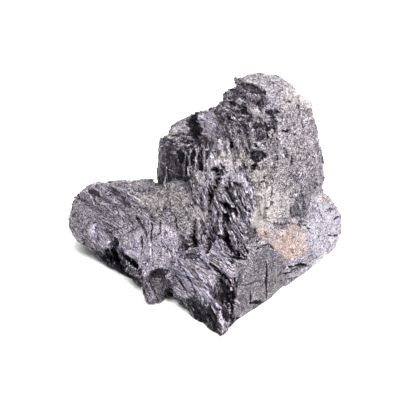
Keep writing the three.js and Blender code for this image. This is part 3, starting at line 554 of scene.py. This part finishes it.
def grain_axes(zone_of):
    """Each place's directions along, across and out of the grain."""
    along = np.array([unit(zone.along) for zone in ZONES.values()])
    out = np.array([unit(zone.out) for zone in ZONES.values()])
    across = unit_rows(np.cross(out, along))
    upward = np.cross(along, across)
    return along[zone_of], across[zone_of], upward[zone_of]


# ---------------------------------------- the lamellae
def lamella(along, across, length, width, seed):
    """Cells side by side in rows: each cell's random number, and the place across it from 0 to 1."""
    row = np.floor(across / width)
    shift = hashed(seed, row)
    cell = np.floor(along / (length * (0.6 + shift)) + 17 * shift)
    return hashed(seed + 1, row, cell), across / width - row, hashed(seed + 2, row, cell)


def grain_places(places, zone_of):
    """Places measured along, across and out of the local grain, bent a little so that it flows."""
    along, across, upward = grain_axes(zone_of)
    grainy = zone_column("grainy")[zone_of]
    bend = 1.2 * noise(places, 11, SEED + 30)
    bend += (0.1 + 0.5 * grainy) * noise(places, 3.5, SEED + 31)
    bend += 0.12 * grainy * noise(places, 0.9, SEED + 32)
    return np.stack([
        np.sum(places * along, axis=1) + noise(places, 2.2, SEED + 33),
        np.sum(places * across, axis=1) + bend,
        np.sum(places * upward, axis=1),
    ], axis=1)


def shader_grain(grain, zone_of):
    """The grain places with their length shortened where the stone is grainy, for the material's plates."""
    grainy = zone_column("grainy")[zone_of]
    return grain * np.stack([0.25 + 2.5 * grainy, 1.6 - 0.6 * grainy, np.ones(len(grain))], axis=1)


def lamella_sizes(zone_of, finer_by=0):
    """Width and length of a lamella at each place, made smaller where the stone is grainy."""
    finer = 1 - finer_by * zone_column("grainy")[zone_of]
    return finer * zone_column("width")[zone_of], finer * zone_column("length")[zone_of]


def lamella_layers(grain, zone_of):
    """Height and painted sheen (a random brightness that stands for the light each lamella mirrors) of three
    sizes of lamella, coarse to fine, each about -0.5 to 0.5, and the rims that stand along their sides."""
    width, length = lamella_sizes(zone_of)
    height, shine, rims = np.zeros((3, len(grain)))
    for layer, (size, share) in enumerate(LAMELLA_LAYERS):
        level, across, lean = lamella(grain[:, 0], grain[:, 1] + 0.35 * grain[:, 2],
                                      length * size, width * size, SEED + 40 + 5 * layer)
        slope = np.where(lean > 0.5, across, 1 - across) - 0.5
        height += share * (0.75 * (level - 0.5) + 0.5 * slope)
        shine += (0.5 if layer == 0 else 0.45) * (hashed(SEED + 60 + layer, np.floor(level * 9973)) - 0.5)
        if size >= 1:
            border = np.minimum(across, 1 - across) * width * size
            rims += (level > 0.4) * np.clip(1 - border / RIM, 0, 1)
    return height, shine, rims


# ---------------------------------------- what the front view adds
def from_picture(column, row):
    """A pixel of the picture as millimetres across and up in the front view."""
    middle_up = FRAME_CENTRE[1] * VIEW_SINE + FRAME_CENTRE[2] * VIEW_COSINE
    return np.array([
        FRAME_CENTRE[0] + (column - PICTURE_SIZE / 2) * PIXEL,
        middle_up - (row - PICTURE_SIZE / 2) * PIXEL,
    ])


def front_view(places):
    """Each place across and up in the front view, and how near it is to the camera."""
    up = places[:, 1] * VIEW_SINE + places[:, 2] * VIEW_COSINE
    near = places[:, 2] * VIEW_SINE - places[:, 1] * VIEW_COSINE
    return np.stack([places[:, 0], up], axis=1), near


def seen_from_front(flat, near, normals):
    """1 on the surface that the front view shows, falling to 0 on what is behind it or turned away."""
    cell = np.floor((flat - flat.min(axis=0)) / SIGHT_CELL).astype(int)
    nearest = np.full(cell.max(axis=0) + 1, -np.inf)
    np.maximum.at(nearest, tuple(cell.T), near)
    hidden = np.clip((nearest[tuple(cell.T)] - near - HIDDEN_DEPTH) / 2, 0, 1)
    facing = normals @ np.array([0, -VIEW_COSINE, VIEW_SINE])
    return (1 - hidden) * np.clip(0.5 + 2 * facing, 0, 1)


def marks(places, normals, grain):
    """Height and change in tone that the single marks give to each place. The change in tone is painted
    shade in the cuts and painted highlight on the ribs. Their borders are frayed by the lamellae that they
    cross."""
    flat, near = front_view(places)
    seen = seen_from_front(flat, near, normals)
    wander = noise_vectors(places, 3, (SEED + 90, SEED + 91))
    wander += 0.5 * noise_vectors(places, 1, (SEED + 92, SEED + 93))
    fray = lamella(grain[:, 0], grain[:, 1], length=2.4, width=0.55, seed=SEED + 110)[0] - 0.5
    lift, tone = np.zeros(len(places)), np.zeros(len(places))
    for column, row, end_column, end_row, pixels, height, change in sum(MARKS.values(), []):
        radius = pixels * PIXEL
        bent = flat + 0.5 * np.clip(radius, 1.0, 1.2) * wander
        away, along = line_distance(bent, from_picture(column, row), from_picture(end_column, end_row))
        away = away / radius + 0.35 * (2 * along - 1) ** 2 + 0.5 * fray / max(radius, 1)
        share = seen * np.clip((1.3 - away) / 0.35, 0, 1)
        share = share * share * (3 - 2 * share)
        lift += (CUT_DEPTH if height < 0 else RIB_HEIGHT) * height * share
        # painted shade in the cuts and painted highlight on the ribs
        tone += change * share
    return lift, tone


def stains_and_shade(places, normals):
    """Changes in tan crust, cream dust and tone that the stains and the painted shade give to each place."""
    flat, near = front_view(places)
    seen = seen_from_front(flat, near, normals)
    wander = np.stack([layered_noise(places, 4, SEED + 95 + 5 * axis) for axis in range(2)], axis=1)
    changes = np.zeros((3, len(places)))
    for column, row, pixels, *amounts in sum(STAINS_AND_SHADE.values(), []):
        radius = pixels * PIXEL
        away = np.linalg.norm(flat + 0.6 * radius * wander - from_picture(column, row), axis=1) / radius
        share = seen * np.clip(1.6 - 1.2 * away, 0, 1)
        changes += np.array(amounts)[:, None] * share
    return changes


# ---------------------------------------- the grown skin
def fine_copy(node):
    """The solid's surface again as fine, even mesh."""
    skin = bpy.data.objects.new("galena_specimen", node.data.copy())
    bpy.context.scene.collection.objects.link(skin)
    remesh = skin.modifiers.new("fine skin", "REMESH")
    remesh.mode = "VOXEL"
    remesh.voxel_size = VOXEL * MM
    fine = baked_mesh(skin, "galena_specimen")
    skin.modifiers.clear()
    skin.data = fine
    return skin


def stepped(values, size):
    """How far each value moves to turn an even slope into stairs of the given size. The order of the
    values stays, so a surface that moves like this never crosses itself."""
    part = values / size - np.round(values / size)
    return (16 * part**5 - part) * size  # no move at the middle and ends of a stair


def cleaved(grain, zone_of, edges):
    """How far each place moves to cleave the stone into coarse and fine cubic steps along its grain."""
    width, length = lamella_sizes(zone_of, finer_by=0.4)
    strength = np.clip(0.85 * zone_column("relief")[zone_of] - 0.2, 0, 0.85)
    moved = grain.copy()
    for size, share in STEP_SIZES:
        row = np.floor(moved[:, 1] / (size * width))
        offset = length * hashed(SEED + 120, row)
        moved[:, 0] += share * stepped(moved[:, 0] + offset, 0.55 * size * length)
        for axis in (1, 2):
            moved[:, axis] += share * stepped(moved[:, axis], size * width)
    shift = (moved - grain) * strength[:, None]
    shift = sum(axis * amount[:, None] for axis, amount in zip(grain_axes(zone_of), shift.T))
    # neighbouring zones step in different directions, so the steps fade out between them
    first, second = edges.T
    border = np.zeros(len(grain))
    border[first[zone_of[first] != zone_of[second]]] = 1
    border[second[zone_of[first] != zone_of[second]]] = 1
    border = np.clip(3 * blurred(border, edges, rounds=5), 0, 1)[:, None]
    return shift + border * (blurred(shift, edges, rounds=8) - shift)


def lumps(places, grain, zone_of, edges):
    """How far the skin stands out or in at each place, from broad swells down to grains, how its
    lamellae shine, and where their raised rims run."""
    relief, rough, broken, crevice = (
        blurred(zone_column(key)[zone_of], edges, rounds=6)
        for key in ("relief", "rough", "broken", "crevice"))
    width, length = lamella_sizes(zone_of, finer_by=0.5)
    fibres, shine, fibre_rims = lamella_layers(grain, zone_of)

    across = BLOCK_WIDTH * width
    cell_size = np.stack([BLOCK_LENGTH * length, across, across], axis=1)
    _, border, facet, label = broken_cells(grain / cell_size, SEED + 50)
    _, small_border, small_facet, small_label = broken_cells(grain / (SMALL_BLOCK * cell_size), SEED + 70)
    small_border *= SMALL_BLOCK
    block_rims = np.clip(1 - border * across / (2 * RIM), 0, 1) * (label > 0.3)
    block_rims += 0.7 * np.clip(1 - small_border * across / (2 * RIM), 0, 1) * (small_label > 0.4)
    blocks = 1.1 * facet + 0.9 * (label - 0.5) + 0.45 * small_facet + 0.4 * (small_label - 0.5)
    lift = relief * ((1 - broken) * fibres + broken * blocks)
    shine = (1 - broken) * shine + broken * 0.8 * (label + 0.7 * small_label - 0.85)

    rims = (1 - broken) * fibre_rims + broken * block_rims
    rims *= np.clip(0.75 + 0.9 * noise(places, 6, SEED + 112), 0, 1)
    lift += (0.12 + 0.22 * relief) * rims

    near_grain, _, _, grain_label = broken_cells(places / GRAIN_SIZE, SEED + 90)
    lift += GRAIN_HEIGHT * rough * (0.45 - near_grain) * (0.3 + grain_label)
    lift += SWELL_HEIGHT * layered_noise(places, SWELL_SIZE, SEED + 80) * (0.35 + 0.65 * relief)

    # long crevices that flow with the grain
    valley = noise(grain / CREVICE_SPACING, 1, SEED + 85)
    valley += 0.3 * noise(grain / CREVICE_WANDER, 1, SEED + 86)
    lift -= CREVICE_DEPTH * crevice * np.exp(-((valley / 0.16) ** 2))
    return lift, shine, rims


def thin_out(skin, behind):
    """Fewer triangles: first on the side that the front view hides, then wherever the skin is flattest."""
    hidden = skin.vertex_groups.new(name="hidden side")
    hidden.add(behind.tolist(), 1.0, "REPLACE")
    hidden_share = len(behind) / len(skin.data.vertices)
    first = skin.modifiers.new("thin out the hidden side", "DECIMATE")
    first.vertex_group = hidden.name
    first.ratio = 1 - hidden_share * (1 - BACK_KEPT)
    second = skin.modifiers.new("thin out", "DECIMATE")
    second.ratio = min(1, MOST_TRIANGLES / (first.ratio * 2 * len(skin.data.polygons)))
    first.use_collapse_triangulate = second.use_collapse_triangulate = True


def fill_hollows(mesh):
    """Deletes the walls of closed hollows inside the stone: all that isn't joined to its highest vertex."""
    shape = bmesh.new()
    shape.from_mesh(mesh)
    top = max(shape.verts, key=lambda vertex: vertex.co.z)
    reached, waiting = {top}, [top]
    while waiting:
        vertex = waiting.pop()
        for edge in vertex.link_edges:
            neighbour = edge.other_vert(vertex)
            if neighbour not in reached:
                reached.add(neighbour)
                waiting.append(neighbour)
    walls = [vertex for vertex in shape.verts if vertex not in reached]
    bmesh.ops.delete(shape, geom=walls, context="VERTS")
    shape.to_mesh(mesh)
    shape.free()


def grow_skin(node):
    """The stone's skin: fine mesh over the solid, moved by lamellae, blocks, grains and cracks. Gives
    the skin and what the flakes need to know about it."""
    skin = fine_copy(node)
    fine = skin.data
    places, edges = places_of(fine), edges_of(fine)
    places = blurred(places, edges, FACET_BLUR)
    places[:, 2] = np.maximum(places[:, 2] - places[:, 2].min(), 0)
    normals = unit_rows(blurred(normals_of(fine), edges, rounds=20))
    broad_normals = unit_rows(blurred(normals, edges, rounds=60))
    zone_of = zones_at(places, broad_normals)
    grain = grain_places(places, zone_of)
    lift, shine, rims = lumps(places, grain, zone_of, edges)
    mark_lift, mark_shade_and_highlight = marks(places, normals, grain)
    lift = LUMP_HEIGHT * lift * (1 - 0.5 * np.clip(np.abs(mark_lift), 0, 1)) + mark_lift
    shift = cleaved(grain, zone_of, edges) + normals * lift[:, None]

    # the resting face stays flat, and nothing goes below the floor
    grown = places + shift * np.clip(places[:, 2] / FOOT_HEIGHT, 0, 1)[:, None]
    grown[:, 2] = np.maximum(grown[:, 2], 0)

    hollow = np.sum((blurred(grown, edges, rounds=3) - grown) * normals, axis=1)
    ridge = np.sum((grown - blurred(grown, edges, rounds=12)) * normals, axis=1)
    deep = np.sum((blurred(grown, edges, rounds=40) - grown) * normals, axis=1)
    set_places(fine, grown)
    # painted shade and light: the tone is painted darker where the grown skin sinks into hollows and deep
    # recesses, and brighter where it stands out on ridges
    painted_hollow_shade_and_ridge_light = 0.16 * np.clip(ridge, -0.4, 0.5)
    painted_hollow_shade_and_ridge_light -= 0.45 * np.clip(hollow, -0.2, 0.25) + 0.24 * np.clip(deep, -0.2, 0.9)
    describe(fine, grown, broad_normals, zone_of, grain, shine, rims, painted_hollow_shade_and_ridge_light + mark_shade_and_highlight)

    thin_out(skin, np.flatnonzero(seen_from_front(*front_view(grown), normals) < LEAST_SEEN))
    skin.data = baked_mesh(skin, "galena_specimen")
    skin.modifiers.clear()
    fill_hollows(skin.data)
    thinned = places_of(skin.data)
    thinned[:, 2] = np.maximum(thinned[:, 2], 0)
    set_places(skin.data, thinned)
    return skin, (grown, normals, zone_of, deep, mark_shade_and_highlight)


def describe(mesh, places, normals, zone_of, grain, shine, rims, painted_shade_and_highlight):
    """Stores what the material reads: tone, grain place, and the shares of tan, dust and silver. The tone
    carries painted shade and highlights as well as the stone's own brightness.
    """
    tone, contrast = soft_shares(places, normals, ("tone", "contrast"), sharpness=22)
    patches = 0.09 * layered_noise(places, 8, SEED + 100) + 0.05 * noise(places, 2.5, SEED + 103)
    # painted reflection: each lamella or block gets a random brightness that stands for the light its tilted
    # face mirrors
    tone += contrast * 0.22 * shine + patches * (0.3 + 0.6 * contrast)
    broken = zone_column("broken")[zone_of]
    # painted highlight along the raised rims of the plates
    tone += (0.05 + (0.14 + 0.24 * broken) * contrast) * (rims - 0.25) + painted_shade_and_highlight
    tan, dust, silver = soft_shares(places, normals, ("tan", "dust", "silver"), sharpness=12)
    more_tan, more_dust, more_tone = stains_and_shade(places, normals)
    # the painted shade of the cuts is kept clear of dust
    more_dust += 0.8 * np.minimum(painted_shade_and_highlight, 0)
    shares = dict(tone=tone + more_tone, tan=tan + more_tan, dust=dust + more_dust, silver=silver - more_tan)
    for name, share in shares.items():
        store(mesh, name, np.clip(share, 0, 1))
    store(mesh, "grain_place", shader_grain(grain, zone_of))


# ---------------------------------------- thin cleavage flakes
FLAKE_CORNERS = np.array([
    (-0.5, -0.42, 0), (-0.2, 0.5, 0), (0.38, 0.45, 0), (0.5, -0.1, 0), (0.2, -0.5, 0),
    (-0.42, -0.32, 1), (-0.16, 0.36, 1), (0.3, 0.33, 1), (0.42, -0.08, 1), (0.16, -0.38, 1),
])
FLAKE_SIDES = [(0, 1, 6, 5), (1, 2, 7, 6), (2, 3, 8, 7), (3, 4, 9, 8), (4, 0, 5, 9)]
FLAKE_ENDS = [(4, 3, 2, 1, 0), (5, 6, 7, 8, 9)]


def flake_directions(chance, up, zones):
    """Off each flake, along its grain and across it. All are turned a little at random."""
    along, _, out = grain_axes(zones)
    facing = unit_rows((1 - FLAKE_LEAN) * up + FLAKE_LEAN * out + chance.normal(0, FLAKE_TILT, (FLAKES, 3)))
    along = along + chance.normal(0, FLAKE_TURN, (FLAKES, 3))
    along = unit_rows(along - facing * np.sum(along * facing, axis=1)[:, None])
    return facing, along, np.cross(facing, along)


def flake_sizes(chance, spots, zones, deep):
    """Length and width of each flake, and whether it is a sliver rather than a plate."""
    sliver = chance.uniform(0, 1, FLAKES) > LEAST_PLATES + 0.5 * zone_column("broken")[zones]
    width = np.where(sliver, chance.uniform(*SLIVER_WIDTH, FLAKES), chance.uniform(*PLATE_WIDTH, FLAKES))
    longest = LONGEST_SLIVER - 4.5 * zone_column("grainy")[zones]
    sliver_length = chance.uniform(SHORTEST_SLIVER, longest)
    plate_length = width * chance.uniform(*PLATE_LENGTH, FLAKES)
    length = np.where(sliver, sliver_length, plate_length)
    # short on corners and near the floor, so that none stands off the skin
    length *= np.clip(1 + 0.9 * deep, 0.3, 1)
    length = np.minimum(length, 1.5 * spots[:, 2])
    return length, width, sliver


def flake_mesh(points, mirrored):
    """A closed slab for each flake's ten corners."""
    faces = []
    for flake in range(FLAKES):
        first = len(FLAKE_CORNERS) * flake
        for face in FLAKE_SIDES + FLAKE_ENDS:
            ring = [first + corner for corner in face]
            faces.append(ring if mirrored[flake] else ring[::-1])
    mesh = bpy.data.meshes.new("cleavage_flakes")
    mesh.from_pydata((points.reshape(-1, 3) * MM).tolist(), [], faces)
    return mesh


def grow_flakes(places, normals, zone_of, deep, mark_shade_and_highlight):
    """Thin slabs that stand a little proud of the skin, each turned with its zone's grain."""
    chance = np.random.default_rng(SEED)
    weight = zone_column("relief")[zone_of] * (1 - 0.8 * zone_column("tan")[zone_of])
    weight = weight * (places[:, 2] > 1.5) * (normals[:, 2] > -0.5) * np.exp(-2 * np.clip(deep, 0, 1))
    chosen = chance.choice(len(places), FLAKES, replace=False, p=weight / weight.sum())
    spots, up, zones, deep, mark_shade_and_highlight = (
        values[chosen] for values in (places, normals, zone_of, deep, mark_shade_and_highlight))

    facing, along, across = flake_directions(chance, up, zones)
    length, width, sliver = flake_sizes(chance, spots, zones, deep)
    thick = chance.uniform(*FLAKE_THICK, FLAKES)
    sunk = thick - chance.uniform(*FLAKE_PROUD, FLAKES)

    corners = np.tile(FLAKE_CORNERS, (FLAKES, 1, 1))
    corners[:, :, 1] *= chance.choice([-1, 1], FLAKES)[:, None]
    mirrored = corners[:, 1, 1] < 0
    points = (spots[:, None]
              + along[:, None] * (corners[:, :, :1] * length[:, None, None])
              + across[:, None] * (corners[:, :, 1:2] * width[:, None, None])
              + facing[:, None] * (corners[:, :, 2:] * thick[:, None, None] - sunk[:, None, None]))
    points[:, :, 2] = np.maximum(points[:, :, 2], FLAKE_FLOOR)
    mesh = flake_mesh(points, mirrored)

    each = np.repeat(np.arange(FLAKES), len(FLAKE_CORNERS))
    soft_tone, tan, dust, silver = soft_shares(spots, up, ("tone", "tan", "dust", "silver"), sharpness=14)
    # painted highlights: slivers are painted brighter on average, as thin cleavage edges catching the light
    own = np.where(sliver, chance.uniform(-0.1, 0.42, FLAKES), chance.uniform(-0.25, 0.25, FLAKES))
    tone = soft_tone + (0.2 + 0.7 * zone_column("contrast")[zones]) * own
    # painted shade: flakes in deep hollows are painted darker, and they take the marks' painted shade and
    # highlights
    tone += 0.8 * mark_shade_and_highlight - 0.4 * np.clip(deep, 0, 1)
    more_tan, more_dust, more_tone = stains_and_shade(spots, up)
    more_dust += 0.8 * np.minimum(mark_shade_and_highlight, 0)
    tan, dust = np.clip(tan + more_tan, 0, 1), np.clip(dust + more_dust, 0, 1)
    store(mesh, "tone", np.clip(tone + more_tone, 0, 1)[each])
    store(mesh, "grain_place", shader_grain(grain_places(points.reshape(-1, 3), zones[each]), zones[each]))
    for name, share in (("tan", tan), ("dust", dust), ("silver", silver)):
        store(mesh, name, (FLAKE_COVER * share)[each])
    flakes = bpy.data.objects.new("cleavage_flakes", mesh)
    bpy.context.scene.collection.objects.link(flakes)
    return flakes


# ---------------------------------------- material
class Nodes:
    """Short calls that add shader nodes to one material."""

    def __init__(self, name):
        self.material = bpy.data.materials.new(name)
        self.material.use_nodes = True
        self.tree = self.material.node_tree
        self.shader = self.tree.nodes["Principled BSDF"]

    def add(self, kind, inputs=(), output=0, **settings):
        node = self.tree.nodes.new(kind)
        for key, value in settings.items():
            setattr(node, key, value)
        self.connect(node, dict(inputs))
        return node.outputs[output]

    def connect(self, node, inputs):
        """Links each input of the node to another node's output, or gives it a plain value."""
        for socket, value in inputs.items():
            if isinstance(value, bpy.types.NodeSocket):
                self.tree.links.new(value, node.inputs[socket])
            else:
                node.inputs[socket].default_value = value

    def read(self, name, output="Fac"):
        return self.add("ShaderNodeAttribute", output=output, attribute_name=name)

    def math(self, operation, first, second):
        return self.add("ShaderNodeMath", {0: first, 1: second}, operation=operation)

    def total(self, first, *others):
        for other in others:
            first = self.math("ADD", first, other)
        return first

    def times(self, first, second):
        return self.math("MULTIPLY", first, second)

    def mix(self, share, first, second):
        return self.add("ShaderNodeMix", {0: share, 6: first, 7: second}, output=2, data_type="RGBA")

    def remap(self, value, low, high, to_low=0.0, to_high=1.0):
        return self.add("ShaderNodeMapRange", {0: value, 1: low, 2: high, 3: to_low, 4: to_high})

    def swing(self, noise, low, high):
        """Noise, which mostly lies from 0.3 to 0.7, turned into values from low to high."""
        return self.remap(noise, 0.3, 0.7, low, high)

    def stretched(self, place, scale):
        return self.add("ShaderNodeMapping", {"Vector": place, "Scale": scale})

    def noise(self, place, scale, detail=3.0, roughness=0.6):
        values = {"Vector": place, "Scale": scale, "Detail": detail, "Roughness": roughness}
        return self.add("ShaderNodeTexNoise", values)

    def voronoi(self, place, output, feature="F1"):
        values = {"Vector": place, "Scale": 1.0}
        return self.add("ShaderNodeTexVoronoi", values, output=output, feature=feature)

    def cells(self, place):
        """A random grey for each cell of a Voronoi pattern."""
        return self.add("ShaderNodeSeparateColor", {0: self.voronoi(place, "Color")})

    def plates(self, place, tilt):
        """Small flat plates, each with a grey of its own and painted shading that falls off towards one
        side, as if the plate were tilted against the light.
        """
        cell = self.voronoi(place, "Color")
        lean = self.add("ShaderNodeVectorMath", {0: cell, 1: (0.5, 0.5, 0.5)}, operation="SUBTRACT")
        centre = cell.node.outputs["Position"]
        way = self.add("ShaderNodeVectorMath", {0: place, 1: centre}, operation="SUBTRACT")
        slope = self.add("ShaderNodeVectorMath", {0: way, 1: lean}, output="Value", operation="DOT_PRODUCT")
        grey = self.math("SUBTRACT", self.add("ShaderNodeSeparateColor", {0: cell}), 0.5)
        return self.total(grey, self.times(slope, tilt))

    def seams(self, place, width, strength=1.0):
        """Thin lines between plates."""
        away = self.voronoi(place, "Distance", "DISTANCE_TO_EDGE")
        return self.remap(away, 0.0, width, strength, 0.0)

    def tinted(self, colour, tint):
        return self.add("ShaderNodeMix", {0: 1.0, 6: colour, 7: (*tint, 1)}, output=2, data_type="RGBA",
                        blend_type="MULTIPLY")

    def ramp(self, value, stops, dim=1.0):
        output = self.add("ShaderNodeValToRGB", {0: value})
        elements = output.node.color_ramp.elements
        while len(elements) < len(stops):
            elements.new(0.5)
        for element, (position, colour) in zip(elements, stops):
            element.position = position
            element.color = (*(dim * channel for channel in colour), 1)
        return output

    def finish(self, **inputs):
        self.connect(self.shader, {name.replace("_", " "): value for name, value in inputs.items()})
        return self.material


# How finely each pattern divides a millimetre along, across and out of the grain
STREAKS = (0.22, 1.6, 1.2)
FACETS = (0.5, 1.5, 1.3)
CHIPS = (1.1, 3.4, 2.8)
GRIT = (3.2, 4.2, 4.0)
BRIGHT_EDGES = (0.32, 1.35, 1.1)
DARK_GAPS = (0.26, 1.0, 0.9)
WING_BLOCKS = (0.55, 0.8, 0.7)

# Strength of each pattern in the stone's tone
STREAK_TONE, FACET_TONE, CHIP_TONE, GRIT_TONE, SPECK_TONE = 0.06, 0.10, 0.17, 0.62, 0.07
GAP_TONE, PAINTED_EDGE_HIGHLIGHT = -0.26, 0.42
CRACK_TONE = -0.60  # of the hair cracks of the wing
BUMP_STRENGTH, BUMP_DEPTH = 0.35, 0.3
BARE_METAL = 0.55  # metallic share of the stone where nothing covers it

STONE_DIM = 0.625  # how much the stone's ramps are darkened to suit the lights
GALENA_STOPS = [
    (0.0, (0.008, 0.008, 0.010)),
    (0.18, (0.020, 0.019, 0.023)),
    (0.36, (0.062, 0.057, 0.069)),
    (0.55, (0.140, 0.127, 0.155)),
    (0.75, (0.265, 0.241, 0.293)),
    (1.0, (0.460, 0.430, 0.508)),
]
TAN_STOPS = [(0.1, (0.060, 0.038, 0.030)), (0.35, (0.17, 0.112, 0.092)), (0.6, (0.32, 0.245, 0.215)),
             (0.9, (0.50, 0.44, 0.415))]
DUST_STOPS = [(0.15, (0.085, 0.073, 0.070)), (0.55, (0.245, 0.213, 0.215)), (1.0, (0.56, 0.51, 0.50))]
SILVER_STOPS = [(0.0, (0.025, 0.024, 0.032)), (0.3, (0.15, 0.14, 0.175)), (0.65, (0.36, 0.335, 0.41)),
                (1.0, (0.62, 0.60, 0.70))]
COOL, WARM = (0.93, 0.94, 1.13), (1.08, 1.0, 0.90)


def galena_material():
    n = Nodes("galena")
    tone, tan, dust, silver = (n.read(name) for name in ("tone", "tan", "dust", "silver"))
    grain = n.read("grain_place", "Vector")

    # streaks along the grain, cleavage plates of two sizes with painted shading across each, grit, painted
    # highlights along the plate edges and dark partings
    streak = n.noise(n.stretched(grain, STREAKS), 1.0)
    # painted shading: each plate is lighter on one side and darker on the other, as if tilted to the lamps
    facet = n.plates(n.stretched(grain, FACETS), tilt=1.4)
    chip = n.plates(n.stretched(grain, CHIPS), tilt=1.2)
    grit = n.cells(n.stretched(grain, GRIT))
    speck = n.noise(grain, 2.2, detail=4.0, roughness=0.75)
    tint = n.noise(grain, 0.5, detail=4.0, roughness=0.7)
    here = n.noise(grain, 0.45, detail=2.0)
    # painted highlights: thin bright lines along the plate edges
    edges = n.times(n.seams(n.stretched(grain, BRIGHT_EDGES), width=0.14), n.remap(here, 0.42, 0.58))
    gaps = n.times(n.seams(n.stretched(grain, DARK_GAPS), width=0.13), n.remap(here, 0.58, 0.42))

    detail = n.total(
        n.swing(streak, -STREAK_TONE, STREAK_TONE),
        n.times(facet, FACET_TONE),
        n.times(chip, CHIP_TONE),
        n.remap(grit, 0.0, 1.0, -GRIT_TONE, GRIT_TONE),
        n.swing(speck, -SPECK_TONE, SPECK_TONE),
        n.times(gaps, GAP_TONE),
        n.times(edges, PAINTED_EDGE_HIGHLIGHT),
    )
    shade = n.total(tone, n.times(detail, n.remap(tone, 0.1, 0.6, 0.45, 1.05)))
    metal = n.ramp(shade, GALENA_STOPS, STONE_DIM)
    metal = n.mix(n.remap(tint, 0.35, 0.65), n.tinted(metal, COOL), n.tinted(metal, WARM))

    # the clean wing: small cubic blocks parted by dark hair cracks
    cracks = n.seams(n.stretched(grain, WING_BLOCKS), width=0.12, strength=CRACK_TONE)
    clean = n.ramp(n.total(shade, cracks), SILVER_STOPS, STONE_DIM)
    metal = n.mix(n.times(silver, 0.9), metal, clean)

    # the tan crust and the cream dust, both grainy
    mottle = n.total(
        n.swing(speck, 0.1, 0.8),
        n.times(chip, 0.3),
        n.swing(tint, -0.22, 0.16),
        n.remap(grit, 0.0, 1.0, -0.2, 0.2),
        n.remap(tone, 0.0, 1.0, -0.15, 0.15),
    )
    crust = n.ramp(mottle, TAN_STOPS)
    patchy = n.total(n.swing(speck, -0.4, 0.4), n.swing(tint, -0.5, 0.5))
    tan_share = n.remap(n.total(tan, patchy), 0.3, 1.0, 0.0, 0.85)
    spread = n.total(dust, n.swing(speck, -0.3, 0.3), n.remap(grit, 0.0, 1.0, -0.25, 0.25))
    dust_share = n.times(n.remap(spread, 0.2, 0.65), n.remap(tone, 0.12, 0.5, 0.0, 0.9))
    colour = n.mix(dust_share, metal, n.ramp(shade, DUST_STOPS, STONE_DIM))
    colour = n.mix(tan_share, colour, crust)

    cover = n.math("MAXIMUM", tan_share, dust_share)
    metallic = n.remap(cover, 0.0, 0.8, BARE_METAL, 0.0)
    gloss = n.total(n.remap(facet, -0.5, 0.5, 0.28, 0.46), n.times(cover, 0.35))
    gloss = n.total(gloss, n.remap(tone, 0.0, 0.25, 0.35, 0.0))  # deep cuts are dull
    relief = n.total(n.times(edges, 0.5), n.times(facet, 0.9), n.times(speck, 0.7), n.times(gaps, -0.7))
    bump_values = {"Height": relief, "Strength": BUMP_STRENGTH, "Distance": BUMP_DEPTH * MM}
    bump = n.add("ShaderNodeBump", bump_values)
    mirror = n.remap(tone, 0.0, 0.3, 0.08, 0.35)  # deep cuts hardly mirror the lights
    return n.finish(
        Base_Color=colour, Metallic=metallic, Roughness=gloss, Normal=bump, Specular_IOR_Level=mirror)


# ---------------------------------------- floor, light and camera
FLOOR_SIZE = 4.0
LIGHT_AIM = (0, 0, 0.03)
# Name, place and diameter in metres, and watts
LIGHTS = [
    ("key", (0.42, -0.48, 0.74), 0.45, 22),
    ("top", (-0.25, -0.10, 0.95), 0.6, 11),
    ("rim", (0.3, 0.7, 0.5), 0.4, 6.5),
]
SKY_STRENGTH = 0.42
LENS = 400  # a long lens, so that the view is nearly parallel


def make_floor():
    bpy.ops.mesh.primitive_plane_add(size=FLOOR_SIZE)
    floor = bpy.context.object
    floor.name = "studio_floor"
    n = Nodes("pale_floor")
    floor.data.materials.append(n.finish(Base_Color=(0.93, 0.93, 0.93, 1), Roughness=0.9))


def make_light(name, place, aim, size, watts):
    light = bpy.data.lights.new(name, "AREA")
    light.shape = "DISK"
    light.size = size
    light.energy = watts
    lamp = bpy.data.objects.new(name, light)
    lamp.location = place
    lamp.rotation_euler = (Vector(aim) - Vector(place)).to_track_quat("-Z", "Y").to_euler()
    bpy.context.scene.collection.objects.link(lamp)


def make_lights():
    for name, place, size, watts in LIGHTS:
        make_light(name, place, LIGHT_AIM, size, watts)
    world = bpy.data.worlds.new("studio")
    world.use_nodes = True
    sky = world.node_tree.nodes["Background"]
    sky.inputs["Color"].default_value = (1, 1, 1, 1)
    sky.inputs["Strength"].default_value = SKY_STRENGTH
    bpy.context.scene.world = world


def make_camera():
    data = bpy.data.cameras.new("camera")
    data.lens = LENS
    data.clip_end = 20
    camera = bpy.data.objects.new("camera", data)
    distance = FRAME_WIDTH * LENS / data.sensor_width * MM
    back = Vector((0, -VIEW_COSINE, VIEW_SINE))
    camera.location = Vector(FRAME_CENTRE) * MM + back * distance
    camera.rotation_euler = (math.pi / 2 - VIEW_ELEVATION, 0, 0)
    bpy.context.scene.collection.objects.link(camera)
    bpy.context.scene.camera = camera


# ---------------------------------------- the scene
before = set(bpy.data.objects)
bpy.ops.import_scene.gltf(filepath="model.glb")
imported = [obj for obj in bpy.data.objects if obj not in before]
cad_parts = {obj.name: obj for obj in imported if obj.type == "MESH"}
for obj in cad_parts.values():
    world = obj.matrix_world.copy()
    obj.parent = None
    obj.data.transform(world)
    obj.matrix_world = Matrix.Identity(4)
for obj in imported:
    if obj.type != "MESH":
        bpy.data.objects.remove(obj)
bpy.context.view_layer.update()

make_floor()
make_lights()
make_camera()
bpy.context.scene.view_settings.view_transform = "Standard"

skin, skin_data = grow_skin(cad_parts["galena_mass"])
flakes = grow_flakes(*skin_data)
galena = galena_material()
for piece in (skin, flakes):
    piece.data.materials.clear()
    piece.data.materials.append(galena)
    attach(piece, "root")
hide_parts("galena_mass")
